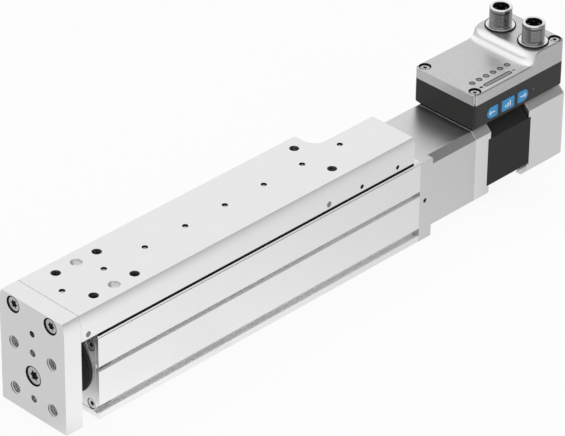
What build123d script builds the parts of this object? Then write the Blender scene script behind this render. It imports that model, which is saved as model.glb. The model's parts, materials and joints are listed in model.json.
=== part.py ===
from build123d import *
from math import cos, radians, sin
import os

# Miniature linear slide: a guided slide table driven by a ball screw, with a stepper motor and a control unit.
# X runs along the travel, with the yoke plate at -X and the motor at +X. Z is up.
# The origin is the middle of the base profile's underside. Lengths are in millimetres.

os.makedirs("parts", exist_ok=True)

# Clearances
fastener_gap = 0.03
through_gap = 0.15
yoke_through_gap = 0.25
head_gap = 0.25
yoke_head_gap = 0.7
seat_gap = 0.05
running_gap = 0.05
buffer_gap = 0.3
tap_runout = 1.0

# Base profile
body_width = 45.0
body_length = 220.5
body_height = 48.0
ledge_height = 46.4
ledge_inset = 0.35
spindle_height = 24.3
bore_radius = 15.0
groove_width = 28.0
groove_floor = 44.8
slot_depth = 3.8
slot_lip = 1.5
sensor_slot_height = 28.75
sensor_slot_opening = 2.75
sensor_slot_inside = 4.6
clamp_slot_height = 5.95
clamp_slot_opening = 4.0
clamp_slot_inside = 6.0
profile_edge_radius = 0.4
foot_hole_radius = 2.1
foot_hole_depth = 8.0
foot_hole_spacing = 160.0
foot_dowel_radius = 2.0
foot_dowel_depth = 4.0

# Slide table and yoke plate
yoke_gap = 10.7
yoke_thickness = 10.6
yoke_bottom = 1.2
table_top = 63.8
table_plate = 6.0
skirt_bottom = 49.4
skirt_thickness = 4.0
table_length = 226.4
end_block_length = 13.4
side_curve_height = 7.0
side_curve_inset = 1.5
cut_start_offset = 184.75
cut_outer_radius = 2.5
cut_inner_radius = 8.0
narrow_edge = 7.2
bolt_pitch = 26.3
table_thread_radius = 2.5
table_row_start = 16.8
rear_row_start = 176.45
centring_radius = 3.0
centring_depth = 2.0
side_plug_radius = 1.5
side_plug_height = 52.1
side_plug_depth = 1.6
side_plug_offsets = (4.7, 165.2)
side_plug_recess = 0.15
side_hole_radius = 1.2
side_hole_depth = 2.6
side_hole_offsets = (188.45, 214.05)
yoke_thread_radius = 3.4
yoke_dowel_radius = 1.9
yoke_jack_radius = 1.7
yoke_jack_height = 48.3
yoke_screw_height = 58.9
yoke_screw_spacing = 25.8
yoke_screw_thread = 8.0
yoke_dowel_depth = 5.0
yoke_head_recess = 0.6

# Guide rail and carriages
rail_width = 12.0
rail_height = 7.5
rail_pitch = 26.65
rail_screw_count = 8
rail_first_screw = 8.85
rail_front_gap = 2.4
rail_rear_margin = 13.3
rail_groove_radius = 0.9
rail_groove_outset = 0.3
rail_head_recess = 0.5
rail_screw_thread = 5.3
carriage_width = 27.0
carriage_height = 10.0
carriage_block_length = 22.0
carriage_cap_length = 6.3
carriage_side_gap = 0.1
carriage_floor_gap = 1.0
carriage_front_place = 22.3
carriage_spacing = 54.0
carriage_bolt_x = 15.0
carriage_bolt_y = 20.0
carriage_thread = 5.0
carriage_cap_trim = 0.2

# Front cap and push rod
cap_width = 40.8
cap_bottom = 3.3
cap_top = 43.5
cap_thickness = 10.0
cap_corner = 3.2
cap_screw_spacing = 33.8
cap_screw_low = 6.5
cap_screw_high = 40.2
cap_screw_thread = 10.0
cap_head_recess = 0.4
wiper_radius = 17.3
wiper_thickness = 3.0
wiper_proud = 1.0
wiper_edge_radius = 0.4
bush_radius = 13.0
rod_radius = 11.0
rod_bore_radius = 7.0
rod_solid_front = 20.0
rod_screw_depth = 14.0
rod_screw_thread = 10.0
nut_rear = 94.0
nut_length = 34.0
nut_radius = 10.0
nut_flange_radius = 14.0
nut_flange_thickness = 6.0
carrier_length = 18.0
carrier_gap = 0.08
magnet_length = 4.0
magnet_inset = 0.6

# Ball spindle and its bearings
spindle_radius = 5.0
spindle_reach = 170.0
spindle_lead_in = 0.8
journal_radius = 4.95
stub_radius = 4.0
bearing_width = 8.0
bearing_count = 2
bearing_outer_radius = 13.0
bearing_outer_inside = 10.8
bearing_inner_outside = 7.2
ball_radius = 1.75
balls_per_row = 6
collar_radius = 6.5
collar_length = 2.2
journal_gap = 0.6
bearing_shoulder = 2.0
bearing_lip = 0.8
ring_gap = 0.02
buffer_length = 3.0
buffer_rear_gap = 1.5

# Bearing cap and coupling housing
bearing_cap_thickness = 9.0
spigot_length = 12.0
retainer_thickness = 3.0
port_radius = 1.15
port_depth = 6.0
port_place = 3.9
port_height = 23.2
coupling_length = 32.8
motor_width = 44.0
motor_corner = 3.8
coupling_wall = 3.0
pilot_radius = 11.0
pilot_length = 2.0
housing_bolt_inset = 3.8
housing_bolt_z = 20.0
housing_head_depth = 20.0
housing_thread = 10.0
hub_radius = 12.0
hub_length = 10.6
hub_inset = 1.8
jaw_length = 4.9
jaw_gap = 0.1
jaw_inner_radius = 6.3
jaw_angle = 36.0
arm_angle = 22.0
arm_start = 30.0
arm_root = 0.5
arm_inset = 0.3
spider_ring_radius = 6.0
spider_bore_radius = 3.6

# Stepper motor
front_bell_length = 9.65
stack_length = 32.5
rear_bell_length = 26.2
stack_inset = 0.3
stack_corner = 7.7
tab_length = 1.7
bell_wall = 3.6
front_hollow_depth = 5.65
rear_hollow_depth = 4.8
rear_edge_radius = 1.5
stack_wall = 4.0
slot_length = 5.2
coil_count = 8
coil_width = 5.0
coil_overhang = 3.0
coil_margin = 1.0
coil_outset = 0.2
coil_trim = 0.5
coil_gap = 0.1
rotor_gap = 0.4
rotor_inset = 3.3
shaft_radius = 2.5
shaft_front_reach = 13.0
shaft_overhang = 0.1
motor_bearing_radius = 8.0
motor_bearing_width = 5.0
motor_bearing_inner = 4.0
motor_bearing_gap = 1.5
shaft_hole_radius = 3.5
motor_bolt_inset = 6.5
motor_head_recess = 0.5
motor_bolt_thread = 8.0
encoder_wall = 2.5
encoder_chamber_length = 10.0
encoder_side_wall = 9.0
encoder_floor_rise = 7.7
encoder_board_thickness = 1.6
encoder_board_drop = 2.0
encoder_chip = 5.0
encoder_chip_height = 0.6
encoder_board_side_gap = 0.1
encoder_gap = 0.8
magnet_radius = 3.0
encoder_magnet_length = 2.0

# Control unit. Places along it are counted from its front wall, heights from its underside.
box_overhang = 1.05
box_length = 67.8
box_width = 42.0
box_corner = 2.2
box_corner_least = 0.6
box_wall = 2.2
box_bevel = 2.2
base_height = 15.7
deck_height = 6.4
platform_rise = 6.6
slope_offset = 37.4
slope_run = 7.6
bow_half_straight = 12.0
bow_radius = 9.15
deck_chamfer = 0.5
corner_groove_width = 0.5
corner_groove_depth = 1.2
cover_screw_inset = 3.7
cover_pocket_radius = 3.3
cover_pocket_depth = 2.6
cover_screw_head = 2.6
cover_screw_head_height = 1.9
cover_screw_shank = 1.25
cover_screw_gap = 0.2
cover_screw_length = 12.0
boss_radius = 3.4
boss_depth = 10.0
gasket_width = 0.9
gasket_height = 0.8
standoff_height = 1.8
standoff_radius = 2.2
standoff_end = 12.0
standoff_side = 8.0
board_thickness = 1.6
board_end_gap = 9.0
board_side_gap = 5.0
board_part_height = 2.0
connector_block = 12.0
chip_size = 14.0
chip_offset = 22.0
chip_y = 4.0
switch_width = 4.0
switch_depth = 3.0
switch_rise = 1.5
base_screw_inset = 9.0
base_screw_head = 2.5
base_screw_head_height = 1.6
base_screw_thread = 4.0
base_screw_front = 4.0
base_screw_rear = 3.0
cable_hole_length = 8.0
cable_hole_width = 20.0
cable_hole_corner = 2.0
button_offsets = (13.65, 25.4, 36.8)
button_widths = (8.0, 9.6, 8.0)
button_height = 6.6
button_corner = 0.8
button_rise = 7.2
button_proud = 0.2
button_gap = 0.15
button_flange = 0.6
button_flange_thickness = 0.8
button_travel = 0.4
switch_gap = 0.1
status_offset = 45.0
status_rise = 7.9
status_radius = 0.8
indicator_offset = 8.5
indicator_pitch = 5.28
indicator_count = 6
indicator_inset = 10.0
indicator_radius = 1.3
level_offset = 11.3
level_length = 19.7
level_inset = 4.0
level_width = 1.9
lens_depth = 1.0
lens_recess = 0.1
connector_offset = 54.0
connector_inset = 9.65
connector_radius = 6.0
connector_height = 11.2
connector_chamfer = 0.5
connector_bore_radius = 4.4
connector_collar_radius = 7.7
connector_collar_height = 0.9
connector_neck_radius = 7.0
connector_neck_length = 5.0
seal_radius = 8.25
seal_thickness = 0.35
insert_recess = 5.5
pin_radius = 0.5
pin_circle = 2.75
pin_recess = 1.5
pins_per_connector = 4

# Places worked out from the sizes above
body_front = -body_length / 2
body_rear = body_length / 2
table_front = body_front - yoke_gap
table_rear = table_front + table_length
yoke_front = table_front - yoke_thickness
half_width = body_width / 2
table_under = table_top - table_plate
rail_under = table_under - rail_height
rail_groove_place = rail_width / 2 + rail_groove_outset
first_rail_screw = table_front + rail_first_screw
rail_front = table_front + rail_front_gap
rail_rear = first_rail_screw + (rail_screw_count - 1) * rail_pitch + rail_rear_margin
row_front = table_front + table_row_start
row_rear = row_front + bolt_pitch
rear_row = table_front + rear_row_start
cut_start = table_front + cut_start_offset
side_plug_places = [table_front + x for x in side_plug_offsets]
side_hole_places = [table_front + x for x in side_hole_offsets]
cap_middle = (cap_bottom + cap_top) / 2
nut_front = nut_rear - nut_length
spindle_front = body_rear - spindle_reach
bearing_front = body_rear - spigot_length + bearing_shoulder
bearing_rear = bearing_front + bearing_count * bearing_width
cap_rear = body_rear + bearing_cap_thickness
motor_front = cap_rear + coupling_length
stack_width = motor_width - 2 * stack_inset
motor_bolt_spacing = motor_width - 2 * motor_bolt_inset
housing_bolt_y = motor_width - 2 * housing_bolt_inset
stack_front = motor_front + front_bell_length
stack_rear = stack_front + stack_length
motor_rear = stack_rear + rear_bell_length
motor_top = spindle_height + motor_width / 2
bell_hollow_radius = motor_width / 2 - bell_wall
slot_radius = motor_width / 2 - stack_wall
stator_bore_radius = slot_radius - slot_length
rotor_radius = stator_bore_radius - rotor_gap
encoder_chamber_width = motor_width - 2 * encoder_side_wall
encoder_floor = spindle_height - motor_width / 2 + encoder_floor_rise
rear_bearing_front = stack_rear + rear_hollow_depth
chamber_front = rear_bearing_front + motor_bearing_width + encoder_wall
chamber_rear = chamber_front + encoder_chamber_length
shaft_rear = chamber_front + shaft_overhang
spindle_hub_front = cap_rear + hub_inset
spindle_hub_rear = spindle_hub_front + hub_length
motor_hub_front = spindle_hub_rear + jaw_length
motor_hub_rear = motor_hub_front + hub_length
box_bottom = motor_top
box_start = motor_front - box_overhang
box_end = box_start + box_length
box_middle = box_start + box_length / 2
box_half = box_width / 2
corner_cut = box_corner * (1 - cos(radians(45)))
base_floor = box_bottom + box_wall
box_split = box_bottom + base_height
cover_low = box_split + deck_height
cover_high = cover_low + platform_rise
slope_foot = box_start + slope_offset
bow_centre = slope_foot + slope_run + bow_radius
tail_length = box_end - bow_centre
board_rest = base_floor + standoff_height
board_top = board_rest + board_thickness
button_places = [box_start + x for x in button_offsets]
button_level = box_bottom + button_rise
status_place = box_start + status_offset
status_level = box_bottom + status_rise
indicator_places = [(box_start + indicator_offset + k * indicator_pitch, indicator_inset - box_half)
                    for k in range(indicator_count)]
level_place = (box_start + level_offset + level_length / 2, level_inset - box_half)
connector_x = box_start + connector_offset


def section(x):
    """Cross-section plane at x, drawn in Y and Z."""
    return Plane.YZ.offset(x)


def front_facing(x, y, z):
    return Plane(origin=(x, y, z), x_dir=(0, 1, 0), z_dir=(-1, 0, 0))


def rear_facing(x, y, z):
    return Plane(origin=(x, y, z), x_dir=(0, 1, 0), z_dir=(1, 0, 0))


def up_facing(x, y, z):
    return Plane(origin=(x, y, z), x_dir=(1, 0, 0), z_dir=(0, 0, 1))


def down_facing(x, y, z):
    return Plane(origin=(x, y, z), x_dir=(1, 0, 0), z_dir=(0, 0, -1))


def near_facing(x, y, z):
    return Plane(origin=(x, y, z), x_dir=(1, 0, 0), z_dir=(0, -1, 0))


def finish(piece, name):
    """Labels a finished piece and writes it."""
    piece.part.label = name
    export_step(piece.part, f"parts/{name}.step")


def drill(places, radius, depth):
    """Drills a hole into each plane, in the part being built."""
    for place in places:
        with Locations(place):
            Hole(radius, depth=depth)


def bore(places, radius, depth, head_radius, head_depth):
    """Drills a counterbored hole into each plane, in the part being built."""
    for place in places:
        with Locations(place):
            CounterBoreHole(radius, head_radius, head_depth, depth=depth)


def ring(x_from, x_to, outer, inner=0):
    """A turned ring on the spindle axis, in the part being built."""
    with BuildSketch(section(x_from)) as profile:
        with Locations((0, spindle_height)):
            Circle(outer)
            if inner:
                Circle(inner, mode=Mode.SUBTRACT)
    extrude(profile.sketch, amount=x_to - x_from)


def ring_cut(x_from, x_to, radius):
    """A turned recess on the spindle axis, in the part being built."""
    with BuildSketch(section(x_from)) as profile:
        with Locations((0, spindle_height)):
            Circle(radius)
    extrude(profile.sketch, amount=x_to - x_from, mode=Mode.SUBTRACT)


def cap_screws(seats, head_radius, head_height, shank_radius, shank_length, socket):
    """Six-lobe cap screws; each seat plane touches the underside of a head and faces the way the head does."""
    with BuildPart() as screws:
        for seat in seats:
            with BuildSketch(seat):
                Circle(head_radius)
            extrude(amount=head_height)
            with BuildSketch(seat):
                Circle(shank_radius)
            extrude(amount=-shank_length)
            with BuildSketch(seat.offset(head_height)):
                Circle(socket * lobe_root)
                with PolarLocations(socket * lobe_place, 6):
                    Circle(socket * lobe_radius)
            extrude(amount=-head_height * socket_depth_share, mode=Mode.SUBTRACT)
    return screws


def table_outline(bottom):
    """Outline shared by the slide table and the yoke plate, with curved shoulders."""
    shoulder = table_top - side_curve_height
    flat = half_width - side_curve_inset
    with BuildLine() as outline:
        near = Line((-half_width, bottom), (-half_width, shoulder))
        near_curve = TangentArc(near @ 1, (-flat, table_top), tangent=(0, 1))
        top = Line(near_curve @ 1, (flat, table_top))
        far_curve = TangentArc((half_width, shoulder), top @ 1, tangent=(0, 1))
        far = Line(far_curve @ 0, (half_width, bottom))
        Line(far @ 1, near @ 0)
    make_face(outline.edges())


def t_slot(side, height, opening, inside):
    """A T-slot cut into one side of the profile's outline."""
    with Locations((side * (half_width - slot_depth / 2), height)):
        Rectangle(slot_depth, opening, mode=Mode.SUBTRACT)
    undercut = slot_depth - slot_lip
    with Locations((side * (half_width - slot_depth + undercut / 2), height)):
        Rectangle(undercut, inside, mode=Mode.SUBTRACT)


def motor_outline(width, corner, mode=Mode.ADD):
    """Square outline with cut corners, centred on the spindle axis."""
    with BuildSketch(mode=Mode.PRIVATE) as outline:
        Rectangle(width, width)
        chamfer(outline.vertices(), corner)
    with Locations((0, spindle_height)):
        add(outline.sketch, mode=mode)


def sectors(inner, outer, count, width, start):
    """Equal sectors of a ring, centred on the sketch's origin."""
    for k in range(count):
        first = start + 360 / count * k - width / 2
        with BuildLine() as sector:
            outside = CenterArc((0, 0), outer, first, width)
            inside = CenterArc((0, 0), inner, first, width)
            Line(inside @ 0, outside @ 0)
            Line(inside @ 1, outside @ 1)
        make_face(sector.edges())


# Hole places shared by the pieces that they join
cap_screw_places = [(side * cap_screw_spacing / 2, z) for side in (-1, 1) for z in (cap_screw_low, cap_screw_high)]
housing_bolt_places = [(sy * housing_bolt_y / 2, spindle_height + sz * housing_bolt_z / 2)
                       for sy in (-1, 1) for sz in (-1, 1)]
motor_bolt_places = [(sy * motor_bolt_spacing / 2, spindle_height + sz * motor_bolt_spacing / 2)
                     for sy in (-1, 1) for sz in (-1, 1)]
carriage_places = [body_front + carriage_front_place, body_front + carriage_front_place + carriage_spacing]
carriage_bolt_places = [(x + sx * carriage_bolt_x / 2, sy * carriage_bolt_y / 2)
                        for x in carriage_places for sx in (-1, 1) for sy in (-1, 1)]
rail_screw_places = [first_rail_screw + k * rail_pitch for k in range(rail_screw_count)]
yoke_screw_places = [(side * yoke_screw_spacing / 2, yoke_screw_height) for side in (-1, 1)]
yoke_thread_places = [(sy * bolt_pitch / 2, spindle_height + sz * bolt_pitch / 2) for sy in (-1, 1) for sz in (-1, 1)]
base_screw_places = [(x, sy * (box_half - base_screw_inset))
                     for x in (stack_front - base_screw_front, rear_bearing_front + base_screw_rear) for sy in (-1, 1)]
cover_screw_rows = ((box_start + cover_screw_inset, cover_low), (box_end - cover_screw_inset, cover_high))
cover_screw_places = [(x, sy * (box_half - cover_screw_inset), top) for x, top in cover_screw_rows for sy in (-1, 1)]
standoff_places = [(x, sy * (box_half - standoff_side))
                   for x in (box_start + standoff_end, box_end - standoff_end) for sy in (-1, 1)]
connector_places = [(connector_x, side * (box_half - connector_inset)) for side in (1, -1)]

# Screw sizes
m3_shank = 1.5
m3_head = 2.75
m3_head_height = 3.0
m3_socket = 2.8
m5_shank = 2.5
m5_head = 3.8
m5_head_height = 3.4
m5_socket = 4.5
m6_shank = 3.0
m6_head = 4.7
m6_head_height = 4.0
m6_socket = 5.6
small_socket = 2.4
socket_depth_share = 0.55
lobe_root = 0.37
lobe_place = 0.39
lobe_radius = 0.11

# Base profile: the long extrusion that carries everything
with BuildPart() as base_profile:
    with BuildSketch(section(body_front)):
        with Locations((0, ledge_height / 2)):
            Rectangle(body_width, ledge_height)
        with Locations((0, body_height / 2)):
            Rectangle(body_width - 2 * ledge_inset, body_height)
        with Locations((0, (groove_floor + body_height) / 2)):
            Rectangle(groove_width, body_height - groove_floor, mode=Mode.SUBTRACT)
        with Locations((0, spindle_height)):
            Circle(bore_radius, mode=Mode.SUBTRACT)
        for side in (-1, 1):
            t_slot(side, sensor_slot_height, sensor_slot_opening, sensor_slot_inside)
            t_slot(side, clamp_slot_height, clamp_slot_opening, clamp_slot_inside)
    extrude(amount=body_length)
    with BuildSketch(section(body_front)):
        with Locations((0, cap_middle)):
            RectangleRounded(cap_width + 2 * seat_gap, cap_top - cap_bottom + 2 * seat_gap, cap_corner)
    extrude(amount=cap_thickness, mode=Mode.SUBTRACT)
    drill([front_facing(body_front + cap_thickness, y, z) for y, z in cap_screw_places], m3_shank + fastener_gap,
          cap_screw_thread + tap_runout)
    drill([rear_facing(body_rear, y, z) for y, z in housing_bolt_places], m3_shank + fastener_gap,
          housing_thread + tap_runout)
    drill([up_facing(x, y, groove_floor) for x, y in carriage_bolt_places], m3_shank + fastener_gap,
          carriage_thread + tap_runout)
    drill([down_facing(sx * foot_hole_spacing / 2, sy * bolt_pitch / 2, 0) for sx in (-1, 1) for sy in (-1, 1)],
          foot_hole_radius, foot_hole_depth)
    drill([down_facing(sx * foot_hole_spacing / 2, 0, 0) for sx in (-1, 1)], foot_dowel_radius, foot_dowel_depth)
    bottom_edges = base_profile.edges().filter_by(Axis.X).group_by(Axis.Z)[0]
    fillet(bottom_edges.filter_by(lambda e: abs(e.center().Y) > half_width - 1), profile_edge_radius)
finish(base_profile, "base_profile")

# Front cap, with the wiper disc and the bush that guide the push rod
with BuildPart() as front_cap:
    with BuildSketch(section(body_front)):
        with Locations((0, cap_middle)):
            RectangleRounded(cap_width, cap_top - cap_bottom, cap_corner - seat_gap)
    extrude(amount=cap_thickness)
    ring_cut(body_front, body_front + wiper_thickness - wiper_proud, wiper_radius + seat_gap)
    ring_cut(body_front, body_front + cap_thickness, bush_radius + seat_gap)
    bore([front_facing(body_front, y, z) for y, z in cap_screw_places], m3_shank + through_gap, cap_thickness,
         m3_head + head_gap, m3_head_height + cap_head_recess)
finish(front_cap, "front_cap")

front_cap_screws = cap_screws(
    [front_facing(body_front + m3_head_height + cap_head_recess, y, z) for y, z in cap_screw_places],
    m3_head, m3_head_height, m3_shank, cap_thickness - m3_head_height - cap_head_recess + cap_screw_thread, m3_socket)
finish(front_cap_screws, "front_cap_screws")

with BuildPart() as rod_wiper:
    ring(body_front - wiper_proud, body_front + wiper_thickness - wiper_proud, wiper_radius, rod_radius + running_gap)
    front_edges = rod_wiper.edges().filter_by(GeomType.CIRCLE).group_by(Axis.X)[0]
    fillet(front_edges.sort_by(SortBy.RADIUS)[-1], wiper_edge_radius)
finish(rod_wiper, "rod_wiper")

with BuildPart() as rod_bush:
    ring(body_front + wiper_thickness - wiper_proud, body_front + cap_thickness, bush_radius, rod_radius + running_gap)
finish(rod_bush, "rod_bush")

# Guide carriages: they sit upside down in the groove and the rail runs in them
def carriage_bar(x, length, trim):
    """A length of carriage outline with the rail's channel, in the part being built."""
    with BuildSketch(section(x)) as profile:
        with Locations((0, groove_floor + carriage_height / 2)):
            Rectangle(carriage_width - 2 * trim, carriage_height - 2 * trim)
        channel = rail_under - carriage_floor_gap
        with Locations((0, (channel + groove_floor + carriage_height) / 2)):
            Rectangle(rail_width + 2 * carriage_side_gap + 2 * trim, groove_floor + carriage_height - channel,
                      mode=Mode.SUBTRACT)
    extrude(profile.sketch, amount=length)


def guide_carriage(middle):
    with BuildPart() as carriage:
        carriage_bar(middle - carriage_block_length / 2, carriage_block_length, 0)
        seats = [up_facing(middle + sx * carriage_bolt_x / 2, sy * carriage_bolt_y / 2, groove_floor + carriage_height)
                 for sx in (-1, 1) for sy in (-1, 1)]
        bore(seats, m3_shank + through_gap, carriage_height, m3_head + head_gap, m3_head_height)
    return carriage


front_carriage = guide_carriage(carriage_places[0])
finish(front_carriage, "front_carriage")
rear_carriage = guide_carriage(carriage_places[1])
finish(rear_carriage, "rear_carriage")

with BuildPart() as carriage_end_caps:
    for middle in carriage_places:
        for start in (middle - carriage_block_length / 2 - carriage_cap_length, middle + carriage_block_length / 2):
            carriage_bar(start, carriage_cap_length, carriage_cap_trim)
finish(carriage_end_caps, "carriage_end_caps")

carriage_screws = cap_screws(
    [up_facing(x, y, groove_floor + carriage_height - m3_head_height) for x, y in carriage_bolt_places],
    m3_head, m3_head_height, m3_shank, carriage_height - m3_head_height + carriage_thread, m3_socket)
finish(carriage_screws, "carriage_screws")

# Slide table: plate with curved shoulders, skirts, and the stepped cut beside the rear holes
with BuildPart() as slide_table:
    with BuildSketch(section(table_front)):
        table_outline(skirt_bottom)
    extrude(amount=table_length)
    with BuildSketch(section(table_front + end_block_length)):
        with Locations((0, (skirt_bottom + table_under) / 2)):
            Rectangle(body_width - 2 * skirt_thickness, table_under - skirt_bottom)
    extrude(amount=table_length - end_block_length, mode=Mode.SUBTRACT)
    with BuildSketch(section(table_front)):
        with Locations((0, (skirt_bottom + table_under) / 2)):
            Rectangle(rail_width + 2 * seat_gap, table_under - skirt_bottom)
    extrude(amount=end_block_length, mode=Mode.SUBTRACT)
    with BuildSketch(Plane.XY.offset(skirt_bottom)):
        with BuildLine():
            outer = CenterArc((cut_start - cut_outer_radius, half_width - cut_outer_radius), cut_outer_radius, 90, -90)
            inner = CenterArc((cut_start + cut_inner_radius, narrow_edge + cut_inner_radius), cut_inner_radius, 180, 90)
            Line(outer @ 1, inner @ 0)
            Polyline(inner @ 1, (table_rear + 1, narrow_edge), (table_rear + 1, half_width + 1),
                     (cut_start - cut_outer_radius, half_width + 1), outer @ 0)
        make_face()
    extrude(amount=table_top - skirt_bottom, mode=Mode.SUBTRACT)
    drill([up_facing(x, sy * bolt_pitch / 2, table_top) for x in (row_front, row_rear) for sy in (-1, 1)],
          table_thread_radius, table_plate)
    drill([up_facing(rear_row, sy * bolt_pitch / 2, table_top) for sy in (-1, 1)], table_thread_radius,
          table_plate)
    drill([up_facing((row_front + row_rear) / 2, sy * bolt_pitch / 2, table_top) for sy in (-1, 1)],
          centring_radius, centring_depth)
    drill([up_facing(x, 0, table_top) for x in rail_screw_places], m3_shank + fastener_gap, table_plate)
    drill([front_facing(table_front, y, z) for y, z in yoke_screw_places], m5_shank + fastener_gap,
          yoke_screw_thread + tap_runout)
    drill([near_facing(x, -half_width, side_plug_height) for x in side_plug_places],
          side_plug_radius + fastener_gap, side_plug_depth)
    drill([near_facing(x, -half_width, side_plug_height) for x in side_hole_places], side_hole_radius, side_hole_depth)
finish(slide_table, "slide_table")

with BuildPart() as side_plugs:
    for x in side_plug_places:
        with BuildSketch(near_facing(x, -half_width + side_plug_depth, side_plug_height)):
            Circle(side_plug_radius)
        extrude(amount=side_plug_depth - side_plug_recess)
finish(side_plugs, "side_plugs")

# Guide rail, screwed to the table from below
with BuildPart() as guide_rail:
    with BuildSketch(section(rail_front)):
        with Locations((0, rail_under + rail_height / 2)):
            Rectangle(rail_width, rail_height)
            with Locations((-rail_groove_place, 0), (rail_groove_place, 0)):
                Circle(rail_groove_radius, mode=Mode.SUBTRACT)
    extrude(amount=rail_rear - rail_front)
    bore([down_facing(x, 0, rail_under) for x in rail_screw_places], m3_shank + through_gap, rail_height,
         m3_head + head_gap, m3_head_height + rail_head_recess)
finish(guide_rail, "guide_rail")

rail_screws = cap_screws(
    [down_facing(x, 0, rail_under + m3_head_height + rail_head_recess) for x in rail_screw_places],
    m3_head, m3_head_height, m3_shank, rail_height - m3_head_height - rail_head_recess + rail_screw_thread, m3_socket)
finish(rail_screws, "rail_screws")

# Yoke plate, with its screws into the table and the push rod
with BuildPart() as yoke_plate:
    with BuildSketch(section(yoke_front)):
        table_outline(yoke_bottom)
    extrude(amount=yoke_thickness)
    drill([front_facing(yoke_front, y, z) for y, z in yoke_thread_places], yoke_thread_radius, yoke_thickness)
    drill([front_facing(yoke_front, 0, spindle_height + sz * bolt_pitch / 2) for sz in (-1, 1)],
          yoke_dowel_radius, yoke_dowel_depth)
    drill([front_facing(yoke_front, 0, yoke_jack_height)], yoke_jack_radius, yoke_thickness)
    bore([front_facing(yoke_front, y, z) for y, z in yoke_screw_places], m5_shank + yoke_through_gap, yoke_thickness,
         m5_head + yoke_head_gap, m5_head_height + yoke_head_recess)
    bore([front_facing(yoke_front, 0, spindle_height)], m6_shank + yoke_through_gap, yoke_thickness,
         m6_head + yoke_head_gap, m6_head_height + yoke_head_recess)
finish(yoke_plate, "yoke_plate")

yoke_screws = cap_screws(
    [front_facing(yoke_front + m5_head_height + yoke_head_recess, y, z) for y, z in yoke_screw_places],
    m5_head, m5_head_height, m5_shank, yoke_thickness - m5_head_height - yoke_head_recess + yoke_screw_thread,
    m5_socket)
finish(yoke_screws, "yoke_screws")

rod_screw = cap_screws(
    [front_facing(yoke_front + m6_head_height + yoke_head_recess, 0, spindle_height)],
    m6_head, m6_head_height, m6_shank, yoke_thickness - m6_head_height - yoke_head_recess + rod_screw_thread, m6_socket)
finish(rod_screw, "rod_screw")

# Push rod, nut and nut carrier
with BuildPart() as push_rod:
    ring(table_front, nut_front, rod_radius)
    ring_cut(table_front + rod_solid_front, nut_front, rod_bore_radius)
    drill([front_facing(table_front, 0, spindle_height)], m6_shank + fastener_gap, rod_screw_depth)
finish(push_rod, "push_rod")

with BuildPart() as screw_nut:
    ring(nut_front, nut_rear, nut_radius)
    ring(nut_front, nut_front + nut_flange_thickness, nut_flange_radius)
    ring_cut(nut_front, nut_rear, spindle_radius + running_gap)
finish(screw_nut, "screw_nut")

carrier_front = nut_front + nut_flange_thickness
with BuildPart() as nut_carrier:
    ring(carrier_front, carrier_front + carrier_length, bore_radius - carrier_gap, nut_radius + seat_gap)
finish(nut_carrier, "nut_carrier")

with BuildPart() as position_magnet:
    ring(carrier_front + carrier_length, carrier_front + carrier_length + magnet_length, bore_radius - magnet_inset,
         nut_radius + seat_gap)
finish(position_magnet, "position_magnet")

# Ball spindle
with BuildPart() as ball_spindle:
    ring(spindle_front, bearing_front - collar_length, spindle_radius)
    ring(bearing_front - collar_length, bearing_front, collar_radius)
    ring(bearing_front, spindle_hub_front - journal_gap, journal_radius)
    ring(spindle_hub_front - journal_gap, spindle_hub_rear, stub_radius)
    chamfer(ball_spindle.edges().filter_by(GeomType.CIRCLE).group_by(Axis.X)[0], spindle_lead_in)
finish(ball_spindle, "ball_spindle")

# Spindle bearings
with BuildPart() as bearing_outer_rings:
    for k in range(bearing_count):
        start = bearing_front + k * bearing_width
        ring(start + ring_gap, start + bearing_width - ring_gap, bearing_outer_radius - fastener_gap,
             bearing_outer_inside)
finish(bearing_outer_rings, "bearing_outer_rings")

with BuildPart() as bearing_inner_rings:
    for k in range(bearing_count):
        start = bearing_front + k * bearing_width
        ring(start + ring_gap, start + bearing_width - ring_gap, bearing_inner_outside, journal_radius + fastener_gap)
finish(bearing_inner_rings, "bearing_inner_rings")

with BuildPart() as bearing_balls:
    ball_circle = (bearing_outer_inside + bearing_inner_outside) / 2
    for k in range(bearing_count):
        with Locations(section(bearing_front + (k + 0.5) * bearing_width)):
            with Locations((0, spindle_height)):
                with PolarLocations(ball_circle, balls_per_row):
                    Sphere(ball_radius)
finish(bearing_balls, "bearing_balls")

# Bearing cap: its spigot centres it in the profile's bore and holds the bearings
with BuildPart() as bearing_cap:
    with BuildSketch(section(body_rear)):
        with Locations((0, ledge_height / 2)):
            Rectangle(body_width, ledge_height)
    extrude(amount=bearing_cap_thickness)
    ring(body_rear - spigot_length, body_rear, bore_radius - seat_gap)
    ring_cut(body_rear - spigot_length, body_rear, bearing_outer_inside - bearing_lip)
    ring_cut(bearing_front, cap_rear, bearing_outer_radius)
    drill([rear_facing(cap_rear, y, z) for y, z in housing_bolt_places], m3_shank + through_gap, bearing_cap_thickness)
    drill([near_facing(body_rear + port_place, -half_width, port_height)], port_radius, port_depth)
finish(bearing_cap, "bearing_cap")

with BuildPart() as bearing_retainer:
    ring(bearing_rear, cap_rear, bearing_outer_radius - seat_gap, bearing_outer_inside)
finish(bearing_retainer, "bearing_retainer")

with BuildPart() as stop_buffers:
    ring(body_front + cap_thickness + ring_gap, body_front + cap_thickness + buffer_length, bore_radius - seat_gap,
         rod_radius + buffer_gap)
    ring(body_rear - spigot_length - buffer_length, body_rear - spigot_length - ring_gap, bore_radius - seat_gap,
         collar_radius + buffer_rear_gap)
finish(stop_buffers, "stop_buffers")

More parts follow.
